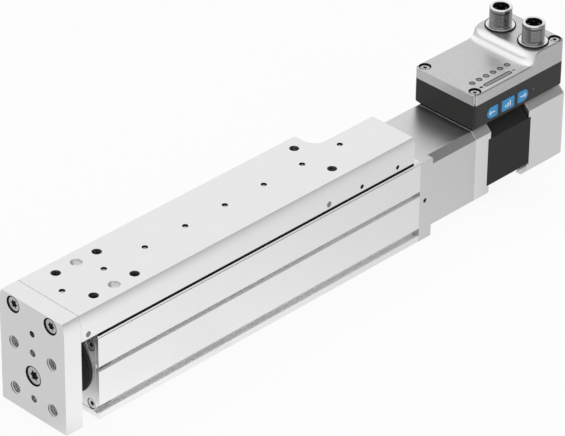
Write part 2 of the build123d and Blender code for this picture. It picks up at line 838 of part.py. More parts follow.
# Coupling housing
with BuildPart() as coupling_housing:
    with BuildSketch(section(cap_rear)):
        motor_outline(motor_width, motor_corner)
    extrude(amount=coupling_length)
    ring_cut(cap_rear, motor_front - coupling_wall, bore_radius)
    ring_cut(motor_front - coupling_wall, motor_front, pilot_radius + seat_gap)
    bore([rear_facing(motor_front, y, z) for y, z in housing_bolt_places], m3_shank + through_gap, coupling_length,
         m3_head + head_gap, housing_head_depth)
    drill([rear_facing(motor_front, y, z) for y, z in motor_bolt_places], m3_shank + fastener_gap,
          motor_bolt_thread + tap_runout)
finish(coupling_housing, "coupling_housing")

housing_screws = cap_screws(
    [rear_facing(motor_front - housing_head_depth, y, z) for y, z in housing_bolt_places],
    m3_head, m3_head_height, m3_shank, coupling_length - housing_head_depth + bearing_cap_thickness + housing_thread,
    m3_socket)
finish(housing_screws, "housing_screws")

# Jaw coupling: two hubs with three jaws each, and the spider between them
def coupling_hub(front, jaw_side, shaft, start_angle):
    with BuildPart() as hub:
        ring(front, front + hub_length, hub_radius, shaft + fastener_gap)
        jaw_from = front + hub_length if jaw_side > 0 else front
        with BuildSketch(rear_facing(jaw_from, 0, spindle_height)):
            sectors(jaw_inner_radius, hub_radius, 3, jaw_angle, start_angle)
        extrude(amount=jaw_side * (jaw_length - jaw_gap))
    return hub


spindle_hub = coupling_hub(spindle_hub_front, 1, stub_radius, 0)
finish(spindle_hub, "spindle_hub")
motor_hub = coupling_hub(motor_hub_front, -1, shaft_radius, 60)
finish(motor_hub, "motor_hub")

with BuildPart() as coupling_spider:
    with BuildSketch(rear_facing(spindle_hub_rear + jaw_gap, 0, spindle_height)):
        Circle(spider_ring_radius)
        sectors(spider_ring_radius - arm_root, hub_radius - arm_inset, 6, arm_angle, arm_start)
        Circle(spider_bore_radius, mode=Mode.SUBTRACT)
    extrude(amount=jaw_length - 2 * jaw_gap)
finish(coupling_spider, "coupling_spider")

# Stepper motor
with BuildPart() as motor_front_bell:
    with BuildSketch(section(motor_front)):
        motor_outline(motor_width, motor_corner)
    extrude(amount=front_bell_length)
    with BuildSketch(section(stack_front)):
        motor_outline(motor_width, motor_corner)
        motor_outline(motor_width, stack_corner, mode=Mode.SUBTRACT)
    extrude(amount=tab_length)
    ring(motor_front - pilot_length, motor_front, pilot_radius)
    ring_cut(stack_front - front_hollow_depth, stack_front, bell_hollow_radius)
    ring_cut(stack_front - front_hollow_depth - motor_bearing_width, stack_front - front_hollow_depth,
             motor_bearing_radius)
    ring_cut(motor_front - pilot_length, motor_front, shaft_hole_radius)
    drill([rear_facing(stack_front + tab_length, y, z) for y, z in motor_bolt_places], m3_shank + through_gap,
          front_bell_length + tab_length)
    drill([up_facing(x, y, motor_top) for x, y in base_screw_places[:2]], m3_shank + fastener_gap,
          base_screw_thread + tap_runout)
finish(motor_front_bell, "motor_front_bell")

with BuildPart() as stator_stack:
    with BuildSketch(section(stack_front)) as stack_sketch:
        motor_outline(stack_width, stack_corner)
        with Locations((0, spindle_height)):
            Circle(stator_bore_radius, mode=Mode.SUBTRACT)
            with PolarLocations((slot_radius + stator_bore_radius) / 2, coil_count):
                Rectangle(slot_radius - stator_bore_radius + coil_margin, coil_width, mode=Mode.SUBTRACT)
    extrude(amount=stack_length)
    drill([rear_facing(stack_rear, y, z) for y, z in motor_bolt_places], m3_shank + through_gap, stack_length)
finish(stator_stack, "stator_stack")

with BuildPart() as stator_coils:
    with BuildSketch(section(stack_front - coil_overhang)):
        with Locations((0, spindle_height)):
            with PolarLocations((slot_radius + stator_bore_radius) / 2 + coil_outset, coil_count):
                Rectangle(slot_radius - stator_bore_radius - coil_trim, coil_width - coil_gap)
    extrude(amount=stack_length + 2 * coil_overhang)
finish(stator_coils, "stator_coils")

with BuildPart() as motor_rear_bell:
    with BuildSketch(section(stack_rear)):
        motor_outline(motor_width, motor_corner)
    extrude(amount=rear_bell_length)
    fillet(motor_rear_bell.faces().sort_by(Axis.X)[-1].edges(), rear_edge_radius)
    with BuildSketch(section(stack_rear)):
        motor_outline(motor_width, motor_corner)
        motor_outline(motor_width, stack_corner, mode=Mode.SUBTRACT)
    extrude(amount=-tab_length)
    ring_cut(stack_rear, rear_bearing_front, bell_hollow_radius)
    ring_cut(rear_bearing_front, rear_bearing_front + motor_bearing_width, motor_bearing_radius)
    ring_cut(rear_bearing_front, chamber_front, shaft_hole_radius)
    with BuildSketch(up_facing((chamber_front + chamber_rear) / 2, 0, motor_top)):
        Rectangle(encoder_chamber_length, encoder_chamber_width)
    extrude(amount=encoder_floor - motor_top, mode=Mode.SUBTRACT)
    bore([rear_facing(motor_rear, y, z) for y, z in motor_bolt_places], m3_shank + through_gap,
         rear_bell_length + tab_length, m3_head + head_gap, m3_head_height + motor_head_recess)
    drill([up_facing(x, y, motor_top) for x, y in base_screw_places[2:]], m3_shank + fastener_gap,
          base_screw_thread + tap_runout)
finish(motor_rear_bell, "motor_rear_bell")

motor_bolts = cap_screws(
    [rear_facing(motor_rear - m3_head_height - motor_head_recess, y, z) for y, z in motor_bolt_places], m3_head,
    m3_head_height, m3_shank, motor_rear - motor_front - m3_head_height - motor_head_recess + motor_bolt_thread,
    m3_socket)
finish(motor_bolts, "motor_bolts")

bearing_seats = (stack_front - front_hollow_depth - motor_bearing_width, rear_bearing_front)
with BuildPart() as motor_bearing_outers:
    for start in bearing_seats:
        ring(start + ring_gap, start + motor_bearing_width - ring_gap, motor_bearing_radius - fastener_gap,
             motor_bearing_inner + motor_bearing_gap)
finish(motor_bearing_outers, "motor_bearing_outers")

with BuildPart() as motor_bearing_inners:
    for start in bearing_seats:
        ring(start + ring_gap, start + motor_bearing_width - ring_gap, motor_bearing_inner, shaft_radius + fastener_gap)
finish(motor_bearing_inners, "motor_bearing_inners")

with BuildPart() as motor_shaft:
    ring(motor_front - shaft_front_reach, shaft_rear, shaft_radius)
finish(motor_shaft, "motor_shaft")

with BuildPart() as rotor_core:
    ring(stack_front + rotor_inset, stack_rear - rotor_inset, rotor_radius, shaft_radius + fastener_gap)
finish(rotor_core, "rotor_core")

with BuildPart() as encoder_magnet:
    ring(shaft_rear, shaft_rear + encoder_magnet_length, magnet_radius)
finish(encoder_magnet, "encoder_magnet")

with BuildPart() as encoder_board:
    board_front = shaft_rear + encoder_magnet_length + encoder_gap
    board_height = motor_top - encoder_board_drop - encoder_floor
    with BuildSketch(section(board_front)):
        with Locations((0, encoder_floor + seat_gap + board_height / 2)):
            Rectangle(encoder_chamber_width - 2 * encoder_board_side_gap, board_height)
    extrude(amount=encoder_board_thickness)
    with BuildSketch(section(board_front)):
        with Locations((0, spindle_height)):
            Rectangle(encoder_chip, encoder_chip)
    extrude(amount=-encoder_chip_height)
finish(encoder_board, "encoder_board")


# Control unit base: an open tray with a bevelled foot, bosses and button windows
def box_plan(shrink=0.0):
    """Rounded plan of the control unit, shrunk by a wall."""
    with Locations((box_middle, 0)):
        RectangleRounded(box_length - 2 * shrink, box_width - 2 * shrink, max(box_corner - shrink, box_corner_least))


def button_outline(index, grow):
    """Button outline: the outer two are rounded on the side that faces away from the middle one."""
    width = button_widths[index] + 2 * grow
    height = button_height + 2 * grow
    if index == 1:
        RectangleRounded(width, height, button_corner + grow)
        return
    outward = -1 if index == 0 else 1
    round_part = height / 2
    with Locations((outward * (width / 2 - round_part), 0)):
        Circle(round_part)
    with Locations((-outward * round_part / 2, 0)):
        RectangleRounded(width - round_part, height, button_corner + grow)


with BuildPart() as control_base:
    with BuildSketch(Plane.XY.offset(box_bottom)):
        box_plan()
    extrude(amount=box_split - box_bottom)
    chamfer(control_base.faces().sort_by(Axis.Z)[0].edges(), box_bevel)
    with BuildSketch(Plane.XY.offset(base_floor)):
        box_plan(box_wall)
    extrude(amount=box_split - base_floor, mode=Mode.SUBTRACT)
    with BuildSketch(Plane.XY.offset(base_floor)):
        with Locations([(x, y) for x, y, top in cover_screw_places]):
            Circle(boss_radius)
    extrude(amount=box_split - base_floor)
    with BuildSketch(Plane.XY.offset(base_floor)):
        with Locations(standoff_places):
            Circle(standoff_radius)
    extrude(amount=board_rest - base_floor)
    with BuildSketch(Plane.XY.offset(box_split)):
        box_plan((box_wall - gasket_width) / 2 - seat_gap)
        with BuildSketch(mode=Mode.PRIVATE) as inside:
            box_plan((box_wall + gasket_width) / 2 + seat_gap)
        add(inside.sketch, mode=Mode.SUBTRACT)
    extrude(amount=-gasket_height, mode=Mode.SUBTRACT)
    drill([up_facing(x, y, box_split) for x, y, top in cover_screw_places], cover_screw_shank + fastener_gap,
          boss_depth)
    drill([up_facing(x, y, base_floor) for x, y in base_screw_places], m3_shank + through_gap, box_wall)
    with BuildSketch(Plane.XY.offset(base_floor)):
        with Locations(((chamber_front + chamber_rear) / 2, 0)):
            RectangleRounded(cable_hole_length, cable_hole_width, cable_hole_corner)
    extrude(amount=-box_wall, mode=Mode.SUBTRACT)
    for index in range(len(button_places)):
        with BuildSketch(near_facing(button_places[index], -box_half, button_level)):
            button_outline(index, button_gap)
        extrude(amount=-box_wall, mode=Mode.SUBTRACT)
    drill([near_facing(status_place, -box_half, status_level)], status_radius + seat_gap, box_wall)
finish(control_base, "control_base")

base_screws = cap_screws([up_facing(x, y, base_floor) for x, y in base_screw_places],
                         base_screw_head, base_screw_head_height, m3_shank, box_wall + base_screw_thread, small_socket)
finish(base_screws, "base_screws")

with BuildPart() as circuit_board:
    with BuildSketch(Plane.XY.offset(board_rest)):
        with Locations((box_middle, 0)):
            Rectangle(box_length - 2 * board_end_gap, box_width - 2 * board_side_gap)
    extrude(amount=board_thickness)
    with BuildSketch(Plane.XY.offset(board_top)):
        with Locations(connector_places):
            Rectangle(connector_block, connector_block)
        with Locations((box_start + chip_offset, chip_y)):
            Rectangle(chip_size, chip_size)
    extrude(amount=board_part_height)
    switch_face = -box_half + box_wall + button_flange_thickness + switch_gap + button_travel
    with BuildSketch(Plane.XY.offset(board_top)):
        with Locations([(x, switch_face + switch_depth / 2) for x in button_places]):
            Rectangle(switch_width, switch_depth)
    extrude(amount=button_level + switch_rise - board_top)
finish(circuit_board, "circuit_board")

# Buttons: each has a flange behind the wall that holds it in
def button(index):
    with BuildPart() as piece:
        with BuildSketch(near_facing(button_places[index], -box_half - button_proud, button_level)):
            button_outline(index, 0)
        extrude(amount=-(box_wall + button_proud + seat_gap))
        with BuildSketch(near_facing(button_places[index], -box_half + box_wall + seat_gap, button_level)):
            button_outline(index, button_flange)
        extrude(amount=-button_flange_thickness)
    return piece


left_button = button(0)
finish(left_button, "left_button")
middle_button = button(1)
finish(middle_button, "middle_button")
right_button = button(2)
finish(right_button, "right_button")

with BuildPart() as status_lens:
    with BuildSketch(near_facing(status_place, -box_half, status_level)):
        Circle(status_radius)
    extrude(amount=-box_wall)
finish(status_lens, "status_lens")

with BuildPart() as cover_gasket:
    with BuildSketch(Plane.XY.offset(box_split)):
        box_plan((box_wall - gasket_width) / 2)
        with BuildSketch(mode=Mode.PRIVATE) as inside:
            box_plan((box_wall + gasket_width) / 2)
        add(inside.sketch, mode=Mode.SUBTRACT)
    extrude(amount=-gasket_height + ring_gap)
finish(cover_gasket, "cover_gasket")


# Control unit cover: a low deck that sweeps up to the raised connector deck
def slope_profile(lift, shift):
    """Side profile of the raised deck: two arcs that meet halfway up, in the sketch being built."""
    foot = slope_foot + shift
    edge = foot + slope_run
    low = cover_low + lift
    high = cover_high + lift
    middle = ((foot + edge) / 2, (low + high) / 2)
    with BuildLine() as outline:
        lower = TangentArc((foot, low), middle, tangent=(1, 0))
        upper = TangentArc(middle, (edge, high), tangent=lower % 1)
        Polyline(upper @ 1, (bow_centre, high), (bow_centre, low - 1), (foot, low - 1), lower @ 0)
    make_face(outline.edges())


def raised_deck(lift, shift):
    """Raised deck: its front is straight in the middle and bows back towards both walls."""
    with BuildPart() as deck:
        with BuildSketch(Plane.XZ):
            slope_profile(lift, shift)
        extrude(amount=bow_half_straight, both=True)
        for end in (-1, 1):
            turn = Axis((bow_centre, end * bow_half_straight, 0), (0, 0, 1))
            with BuildSketch(Plane.XZ.offset(-end * bow_half_straight)):
                slope_profile(lift, shift)
            revolve(axis=turn, revolution_arc=-end * 90)
        with BuildSketch(Plane.XY.offset(cover_low + lift - 1)):
            with Locations((bow_centre + tail_length / 2, 0)):
                Rectangle(tail_length, 2 * box_width)
        extrude(amount=cover_high - cover_low + 1)
        with BuildSketch(Plane.XY.offset(cover_low + lift - 1)):
            box_plan(shift)
        extrude(amount=cover_high - cover_low + 1, mode=Mode.INTERSECT)
    return deck


def on_rim(edge):
    """True for the edges that run round the top of the cover, up the slope and round the raised deck."""
    upright = abs(edge.tangent_at(0.5).Z) > 0.95
    outside = all(abs(v.Y) > box_half - 0.01 or v.X < box_start + box_corner + 0.01 or v.X > box_end - box_corner - 0.01
                  for v in edge.vertices())
    return outside and not upright and edge.center().Z > box_split + 1


raised_block = raised_deck(0, 0)
raised_hollow = raised_deck(-box_wall, box_wall)

with BuildPart() as control_cover:
    with BuildSketch(Plane.XY.offset(box_split)):
        box_plan()
    extrude(amount=cover_low - box_split)
    add(raised_block.part)
    chamfer(control_cover.edges().filter_by(on_rim), deck_chamfer)
    with BuildSketch(Plane.XY.offset(box_split)):
        for side in (-1, 1):
            for end in (-1, 1):
                with Locations((box_middle + end * (box_length / 2 - corner_cut), side * (box_half - corner_cut))):
                    Rectangle(2 * corner_groove_depth, corner_groove_width, rotation=45 * side * end)
    extrude(amount=cover_high - box_split, mode=Mode.SUBTRACT)
    with BuildSketch(Plane.XY.offset(box_split)):
        box_plan(box_wall)
    extrude(amount=cover_low - box_wall - box_split, mode=Mode.SUBTRACT)
    add(raised_hollow.part, mode=Mode.SUBTRACT)
    for x, y, top in cover_screw_places:
        with BuildSketch(Plane.XY.offset(box_split)):
            with Locations((x, y)):
                Circle(boss_radius)
        extrude(amount=top - box_split - box_wall / 2)
    for x, y, top in cover_screw_places:
        with Locations(up_facing(x, y, top)):
            CounterBoreHole(cover_screw_shank + cover_screw_gap, cover_pocket_radius, cover_pocket_depth,
                            depth=top - box_split)
    drill([up_facing(x, y, cover_high) for x, y in connector_places], connector_neck_radius + seat_gap,
          box_wall + tap_runout)
    drill([up_facing(x, y, cover_low) for x, y in indicator_places], indicator_radius + seat_gap, lens_depth)
    with BuildSketch(Plane.XY.offset(cover_low)):
        with Locations(level_place):
            SlotOverall(level_length + 2 * seat_gap, level_width + 2 * seat_gap)
    extrude(amount=-lens_depth, mode=Mode.SUBTRACT)
finish(control_cover, "control_cover")

cover_screws = cap_screws(
    [up_facing(x, y, top - cover_pocket_depth) for x, y, top in cover_screw_places],
    cover_screw_head, cover_screw_head_height, cover_screw_shank, cover_screw_length, small_socket)
finish(cover_screws, "cover_screws")

with BuildPart() as indicator_lenses:
    with BuildSketch(Plane.XY.offset(cover_low - lens_depth)):
        with Locations(indicator_places):
            Circle(indicator_radius)
    extrude(amount=lens_depth - lens_recess)
finish(indicator_lenses, "indicator_lenses")

with BuildPart() as level_window:
    with BuildSketch(Plane.XY.offset(cover_low - lens_depth)):
        with Locations(level_place):
            SlotOverall(level_length, level_width)
    extrude(amount=lens_depth - lens_recess)
finish(level_window, "level_window")


# Plug connectors: threaded shells with a collar, a seal, a contact carrier and pins
def connector(x, y):
    collar_under = cover_high + seal_thickness
    with BuildPart() as shell:
        with BuildSketch(up_facing(x, y, collar_under)):
            Circle(connector_collar_radius)
        extrude(amount=connector_collar_height)
        with BuildSketch(up_facing(x, y, collar_under)):
            Circle(connector_radius)
        extrude(amount=connector_height)
        with BuildSketch(up_facing(x, y, collar_under)):
            Circle(connector_neck_radius)
        extrude(amount=-connector_neck_length)
        top_edge = shell.edges().filter_by(GeomType.CIRCLE).group_by(Axis.Z)[-1]
        chamfer(top_edge, connector_chamfer)
        with BuildSketch(up_facing(x, y, collar_under + connector_height)):
            Circle(connector_bore_radius)
        extrude(amount=-connector_height - connector_neck_length, mode=Mode.SUBTRACT)
    return shell


supply_connector = connector(*connector_places[0])
finish(supply_connector, "supply_connector")
signal_connector = connector(*connector_places[1])
finish(signal_connector, "signal_connector")

insert_bottom = cover_high + seal_thickness - connector_neck_length
insert_top = cover_high + seal_thickness + connector_height - insert_recess
pin_places = [(x + pin_circle * cos(radians(45 + 90 * k)), y + pin_circle * sin(radians(45 + 90 * k)))
              for x, y in connector_places for k in range(pins_per_connector)]
with BuildPart() as connector_inserts:
    with BuildSketch(Plane.XY.offset(insert_bottom)):
        with Locations(connector_places):
            Circle(connector_bore_radius - fastener_gap)
    extrude(amount=insert_top - insert_bottom)
    drill([up_facing(x, y, insert_top) for x, y in pin_places], pin_radius + fastener_gap, insert_top - insert_bottom)
finish(connector_inserts, "connector_inserts")

with BuildPart() as connector_pins:
    with BuildSketch(Plane.XY.offset(board_top + board_part_height)):
        with Locations(pin_places):
            Circle(pin_radius)
    extrude(amount=insert_top + insert_recess - pin_recess - board_top - board_part_height)
finish(connector_pins, "connector_pins")

with BuildPart() as connector_seals:
    with BuildSketch(Plane.XY.offset(cover_high)):
        with Locations(connector_places):
            Circle(seal_radius)
            Circle(connector_neck_radius + seat_gap, mode=Mode.SUBTRACT)
    extrude(amount=seal_thickness)
finish(connector_seals, "connector_seals")
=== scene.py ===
# %% [markdown]
# This lesson dresses a miniature linear slide: a slide table on a base profile, pushed by a ball screw,
# with a stepper motor and a control unit behind it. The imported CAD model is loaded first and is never
# moved. The new pieces are placed in the CAD's own frame: X runs along the travel, Z is up, and sizes are
# millimetres.

# %% Load the frame
import json
from math import cos, pi, radians, sin
import bmesh
import bpy
from mathutils import Matrix, Vector

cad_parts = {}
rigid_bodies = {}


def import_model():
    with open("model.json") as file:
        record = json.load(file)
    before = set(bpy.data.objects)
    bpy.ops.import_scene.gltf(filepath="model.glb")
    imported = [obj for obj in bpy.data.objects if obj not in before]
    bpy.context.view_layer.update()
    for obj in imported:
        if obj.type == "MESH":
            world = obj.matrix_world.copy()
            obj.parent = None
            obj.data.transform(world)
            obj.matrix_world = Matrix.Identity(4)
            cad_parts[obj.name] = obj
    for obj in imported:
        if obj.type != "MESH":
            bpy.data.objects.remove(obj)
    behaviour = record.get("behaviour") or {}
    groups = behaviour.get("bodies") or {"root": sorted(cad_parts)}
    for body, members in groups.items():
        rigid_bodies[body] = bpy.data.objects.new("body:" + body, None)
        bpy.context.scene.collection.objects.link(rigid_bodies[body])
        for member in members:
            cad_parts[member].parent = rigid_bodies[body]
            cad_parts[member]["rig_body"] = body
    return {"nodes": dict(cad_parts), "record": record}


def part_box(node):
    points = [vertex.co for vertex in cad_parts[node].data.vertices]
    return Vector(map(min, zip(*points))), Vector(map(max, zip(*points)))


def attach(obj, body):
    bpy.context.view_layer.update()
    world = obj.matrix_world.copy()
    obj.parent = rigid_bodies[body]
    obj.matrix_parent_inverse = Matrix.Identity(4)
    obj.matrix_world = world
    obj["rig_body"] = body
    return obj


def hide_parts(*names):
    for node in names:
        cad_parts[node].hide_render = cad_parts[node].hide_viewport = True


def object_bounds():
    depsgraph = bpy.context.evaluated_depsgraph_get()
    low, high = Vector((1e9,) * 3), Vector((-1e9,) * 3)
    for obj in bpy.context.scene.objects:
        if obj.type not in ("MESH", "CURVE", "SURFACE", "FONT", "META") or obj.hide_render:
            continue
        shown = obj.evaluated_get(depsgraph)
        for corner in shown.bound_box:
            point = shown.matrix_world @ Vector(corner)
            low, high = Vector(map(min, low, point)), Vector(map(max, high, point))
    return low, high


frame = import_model()
nodes = frame["nodes"]
mm = 0.001
cad_box = [list(corner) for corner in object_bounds()]
print("nodes", len(nodes), "overall size in mm", [round((b - a) / mm, 1) for a, b in zip(*cad_box)])

# %% [markdown]
# Real surfaces are never one flat colour. Each finish below starts from a Principled shader, and a noise
# pattern on Object coordinates varies its colour, roughness or relief. Object coordinates are metres in the
# CAD's own frame, because every object sits at the origin, so one pattern runs on from piece to piece.

# %% Tools for finishes
finishes = {}


def new_finish(name, metallic, roughness):
    """Makes a material under the record's slot name; returns its tree and shader."""
    material = bpy.data.materials.new(name)
    material.use_nodes = True
    finishes[name] = material
    shader = material.node_tree.nodes["Principled BSDF"]
    shader.inputs["Metallic"].default_value = metallic
    shader.inputs["Roughness"].default_value = roughness
    return material.node_tree, shader


def grain(tree, scale, stretch=(1.0, 1.0, 1.0), detail=3.0):
    """Noise on Object coordinates. A small stretch value draws the grain out along that axis."""
    place = tree.nodes.new("ShaderNodeTexCoord")
    mapping = tree.nodes.new("ShaderNodeMapping")
    mapping.inputs["Scale"].default_value = stretch
    noise = tree.nodes.new("ShaderNodeTexNoise")
    noise.inputs["Scale"].default_value = scale
    noise.inputs["Detail"].default_value = detail
    tree.links.new(place.outputs["Object"], mapping.inputs["Vector"])
    tree.links.new(mapping.outputs["Vector"], noise.inputs["Vector"])
    return noise.outputs["Fac"]


def tint(tree, shader, factor, dark, light):
    """The pattern blends the base colour between two tones."""
    mix = tree.nodes.new("ShaderNodeMix")
    mix.data_type = "RGBA"
    mix.inputs["A"].default_value = (*dark, 1.0)
    mix.inputs["B"].default_value = (*light, 1.0)
    tree.links.new(factor, mix.inputs["Factor"])
    tree.links.new(mix.outputs["Result"], shader.inputs["Base Color"])


def vary_roughness(tree, shader, factor, low, high):
    """The pattern moves the roughness between two values."""
    spread = tree.nodes.new("ShaderNodeMapRange")
    spread.inputs["To Min"].default_value = low
    spread.inputs["To Max"].default_value = high
    tree.links.new(factor, spread.inputs["Value"])
    tree.links.new(spread.outputs["Result"], shader.inputs["Roughness"])


def relief(tree, shader, height, strength, depth):
    """The pattern raises the surface by up to depth metres."""
    bump = tree.nodes.new("ShaderNodeBump")
    bump.inputs["Strength"].default_value = strength
    bump.inputs["Distance"].default_value = depth
    tree.links.new(height, bump.inputs["Height"])
    tree.links.new(bump.outputs["Normal"], shader.inputs["Normal"])


def ramp(tree, direction, start, end, low, high):
    """A value that runs from low to high along a direction of the Object coordinates."""
    place = tree.nodes.new("ShaderNodeTexCoord")
    along = tree.nodes.new("ShaderNodeVectorMath")
    along.operation = "DOT_PRODUCT"
    along.inputs[1].default_value = direction
    spread = tree.nodes.new("ShaderNodeMapRange")
    spread.interpolation_type = "SMOOTHSTEP"
    for socket, value in (("From Min", start), ("From Max", end), ("To Min", low), ("To Max", high)):
        spread.inputs[socket].default_value = value
    tree.links.new(place.outputs["Object"], along.inputs[0])
    tree.links.new(along.outputs["Value"], spread.inputs["Value"])
    return spread.outputs["Result"]


def multiply(tree, first, second):
    """The product of two values."""
    product = tree.nodes.new("ShaderNodeMath")
    product.operation = "MULTIPLY"
    tree.links.new(first, product.inputs[0])
    tree.links.new(second, product.inputs[1])
    return product.outputs["Value"]


def grey(value):
    """A neutral tone."""
    return (value, value, value)


print("finish tools ready")

# %% [markdown]
# The large parts are aluminium. The real ones are blasted and anodised, which leaves a pale satin skin: it
# mirrors its surroundings, but only as a blur. Full metal with a middle roughness does that, and the colour
# then comes from what stands round the slide. The extruded and milled faces also carry very faint lines
# along the travel, so one grain is drawn out along X. The two housings ahead of the motor are a shade
# darker.

# %% Aluminium finishes
cloud_scale, line_scale, blast_scale = 60.0, 900.0, 2600.0
drawn_along_travel = (0.03, 1.0, 1.0)
blast_strength, blast_depth = 0.008, 0.00004


def aluminium(name, dark, light, metallic, rough_low, rough_high):
    """A satin metal with faint clouds of colour, lines along the travel and a fine blasted relief."""
    tree, shader = new_finish(name, metallic, rough_low)
    tint(tree, shader, grain(tree, cloud_scale), dark, light)
    lines = grain(tree, line_scale, stretch=drawn_along_travel, detail=2.0)
    vary_roughness(tree, shader, lines, rough_low, rough_high)
    relief(tree, shader, grain(tree, blast_scale, detail=2.0), blast_strength, blast_depth)


aluminium("anodised", grey(0.79), grey(0.82), 1.0, 0.30, 0.36)
aluminium("machined_aluminium", grey(0.80), grey(0.83), 1.0, 0.31, 0.36)
aluminium("housing_aluminium", grey(0.63), grey(0.66), 1.0, 0.30, 0.36)
# painted light: a lighter, less mirror-like copy of the aluminium for the slot walls, which would shade dark
aluminium("slot_painted_light", grey(0.80), grey(0.86), 0.25, 0.45, 0.55)
print("aluminium finishes", len(finishes))

# %% [markdown]
# The cover of the control unit is a thin metal casting that was brushed and left bright. Its grain is short
# and coarse, so it sparkles a little. The slope up to the connectors carries a painted highlight: a brighter
# tone in its colour stands in for a lamp's reflection. Three ramps find it: one rises at its foot, one falls
# at its top, and one starts above the side walls. Where all three are 1, the painted highlight is mixed in.

# %% Cover finish
along_travel, upwards = (1.0, 0.0, 0.0), (0.0, 0.0, 1.0)
painted_highlight_tone = 0.95

tree, shader = new_finish("sheet_cover", 1.0, 0.3)
tint(tree, shader, grain(tree, 700.0, detail=5.0), grey(0.50), grey(0.65))
up_the_slope = ramp(tree, along_travel, start=0.1882, end=0.1925, low=0.0, high=1.0)
to_the_platform = ramp(tree, along_travel, start=0.1930, end=0.1965, low=1.0, high=0.0)
above_the_walls = ramp(tree, upwards, start=0.0685, end=0.0690, low=0.0, high=1.0)
# painted highlight: a brighter tone on the slope's middle stands in for a lamp's reflection
painted_highlight = tree.nodes.new("ShaderNodeMix")
painted_highlight.data_type = "RGBA"
painted_highlight.inputs["B"].default_value = (*grey(painted_highlight_tone), 1.0)
tree.links.new(shader.inputs["Base Color"].links[0].from_socket, painted_highlight.inputs["A"])
tree.links.new(multiply(tree, multiply(tree, up_the_slope, to_the_platform), above_the_walls),
               painted_highlight.inputs["Factor"])
tree.links.new(painted_highlight.outputs["Result"], shader.inputs["Base Color"])
vary_roughness(tree, shader, grain(tree, 500.0, stretch=(0.2, 1.0, 1.0)), 0.31, 0.40)
relief(tree, shader, grain(tree, 1800.0, detail=4.0), 0.05, 0.00006)
print("cover finish made")

# %% [markdown]
# The motor's stack is a pile of thin dark steel sheets. Their edges make fine lines round the motor, so the
# noise is drawn out across the travel, and the same lines tint the surface and raise it.

# %% Stack finish
tree, shader = new_finish("laminations", 0.2, 0.5)
sheets = grain(tree, 2000.0, stretch=(1.0, 0.02, 0.02), detail=1.0)
shader.inputs["Specular IOR Level"].default_value = 0.3
tint(tree, shader, sheets, grey(0.010), grey(0.017))
relief(tree, shader, sheets, 0.2, 0.00005)
print("stack finish made")

# %% [markdown]
# Steel, screws, plug shells, plastics, rubber and the rest need less: each gets its own colour, gloss and
# the grain that such a material has. One function makes them all, because only the numbers differ.

# %% Plain finishes
fine_depth = 0.00005


def simple_finish(name, dark, light, metallic, rough_low, rough_high, scale, bump):
    """One grain varies colour and roughness, and one three times as fine gives the relief."""
    tree, shader = new_finish(name, metallic, rough_low)
    pattern = grain(tree, scale)
    tint(tree, shader, pattern, dark, light)
    vary_roughness(tree, shader, pattern, rough_low, rough_high)
    relief(tree, shader, grain(tree, scale * 3.0), bump, fine_depth)
    return shader


simple_finish("steel", grey(0.60), grey(0.68), 1.0, 0.18, 0.28, 300.0, 0.03)
simple_finish("screw_steel", grey(0.50), grey(0.62), 1.0, 0.22, 0.34, 900.0, 0.05)
simple_finish("connector_metal", grey(0.24), grey(0.31), 1.0, 0.12, 0.18, 800.0, 0.03)
case = simple_finish("dark_case", (0.023, 0.022, 0.021), (0.028, 0.026, 0.025), 0.0, 0.42, 0.52, 1500.0, 0.10)
case.inputs["Specular IOR Level"].default_value = 0.3
simple_finish("black_plastic", grey(0.010), grey(0.016), 0.0, 0.45, 0.55, 1500.0, 0.06)
simple_finish("button_blue", (0.020, 0.235, 0.50), (0.028, 0.27, 0.56), 0.0, 0.38, 0.46, 1200.0, 0.05)
simple_finish("lens_dark", grey(0.20), grey(0.27), 0.2, 0.20, 0.28, 900.0, 0.02)
simple_finish("lens_clear", (0.22, 0.23, 0.22), (0.34, 0.35, 0.34), 0.1, 0.25, 0.40, 900.0, 0.02)
simple_finish("lens_dull", grey(0.06), grey(0.09), 0.0, 0.35, 0.45, 900.0, 0.02)
simple_finish("rubber_black", grey(0.012), grey(0.020), 0.0, 0.55, 0.70, 1200.0, 0.08)
simple_finish("board_green", (0.012, 0.10, 0.045), (0.02, 0.15, 0.07), 0.0, 0.30, 0.40, 500.0, 0.04)
simple_finish("copper_winding", (0.55, 0.24, 0.10), (0.72, 0.36, 0.16), 1.0, 0.28, 0.40, 700.0, 0.15)
simple_finish("pin_gold", (0.10, 0.085, 0.06), (0.15, 0.125, 0.09), 1.0, 0.20, 0.28, 900.0, 0.02)
simple_finish("magnet_dark", grey(0.045), grey(0.075), 0.6, 0.40, 0.55, 700.0, 0.08)
simple_finish("bearing_bronze", (0.46, 0.30, 0.13), (0.58, 0.40, 0.20), 1.0, 0.38, 0.50, 900.0, 0.08)
simple_finish("spider_red", (0.40, 0.025, 0.02), (0.50, 0.04, 0.03), 0.0, 0.45, 0.55, 700.0, 0.05)
simple_finish("plug_grey", grey(0.16), grey(0.24), 0.4, 0.40, 0.50, 900.0, 0.05)
simple_finish("print_white", grey(0.80), grey(0.90), 0.0, 0.45, 0.55, 900.0, 0.02)
simple_finish("print_dark", grey(0.008), grey(0.014), 0.0, 0.45, 0.55, 900.0, 0.02)
# deep_black is the painted shade in the wells, sockets and skirt gaps; the joint film, the connectors'
# inserts and their seal rings wear it as their own black
deep_black = simple_finish("deep_black", grey(0.004), grey(0.007), 0.0, 0.75, 0.85, 900.0, 0.02)
deep_black.inputs["Specular IOR Level"].default_value = 0.12
print("finishes", len(finishes))

# %% [markdown]
# Every CAD node takes the finish that the record names for it. The nodes that face the camera are replaced
# further down by finer copies, and the inner ones stay as they are. The status lens is unlit, so it is
# duller than the other lenses.

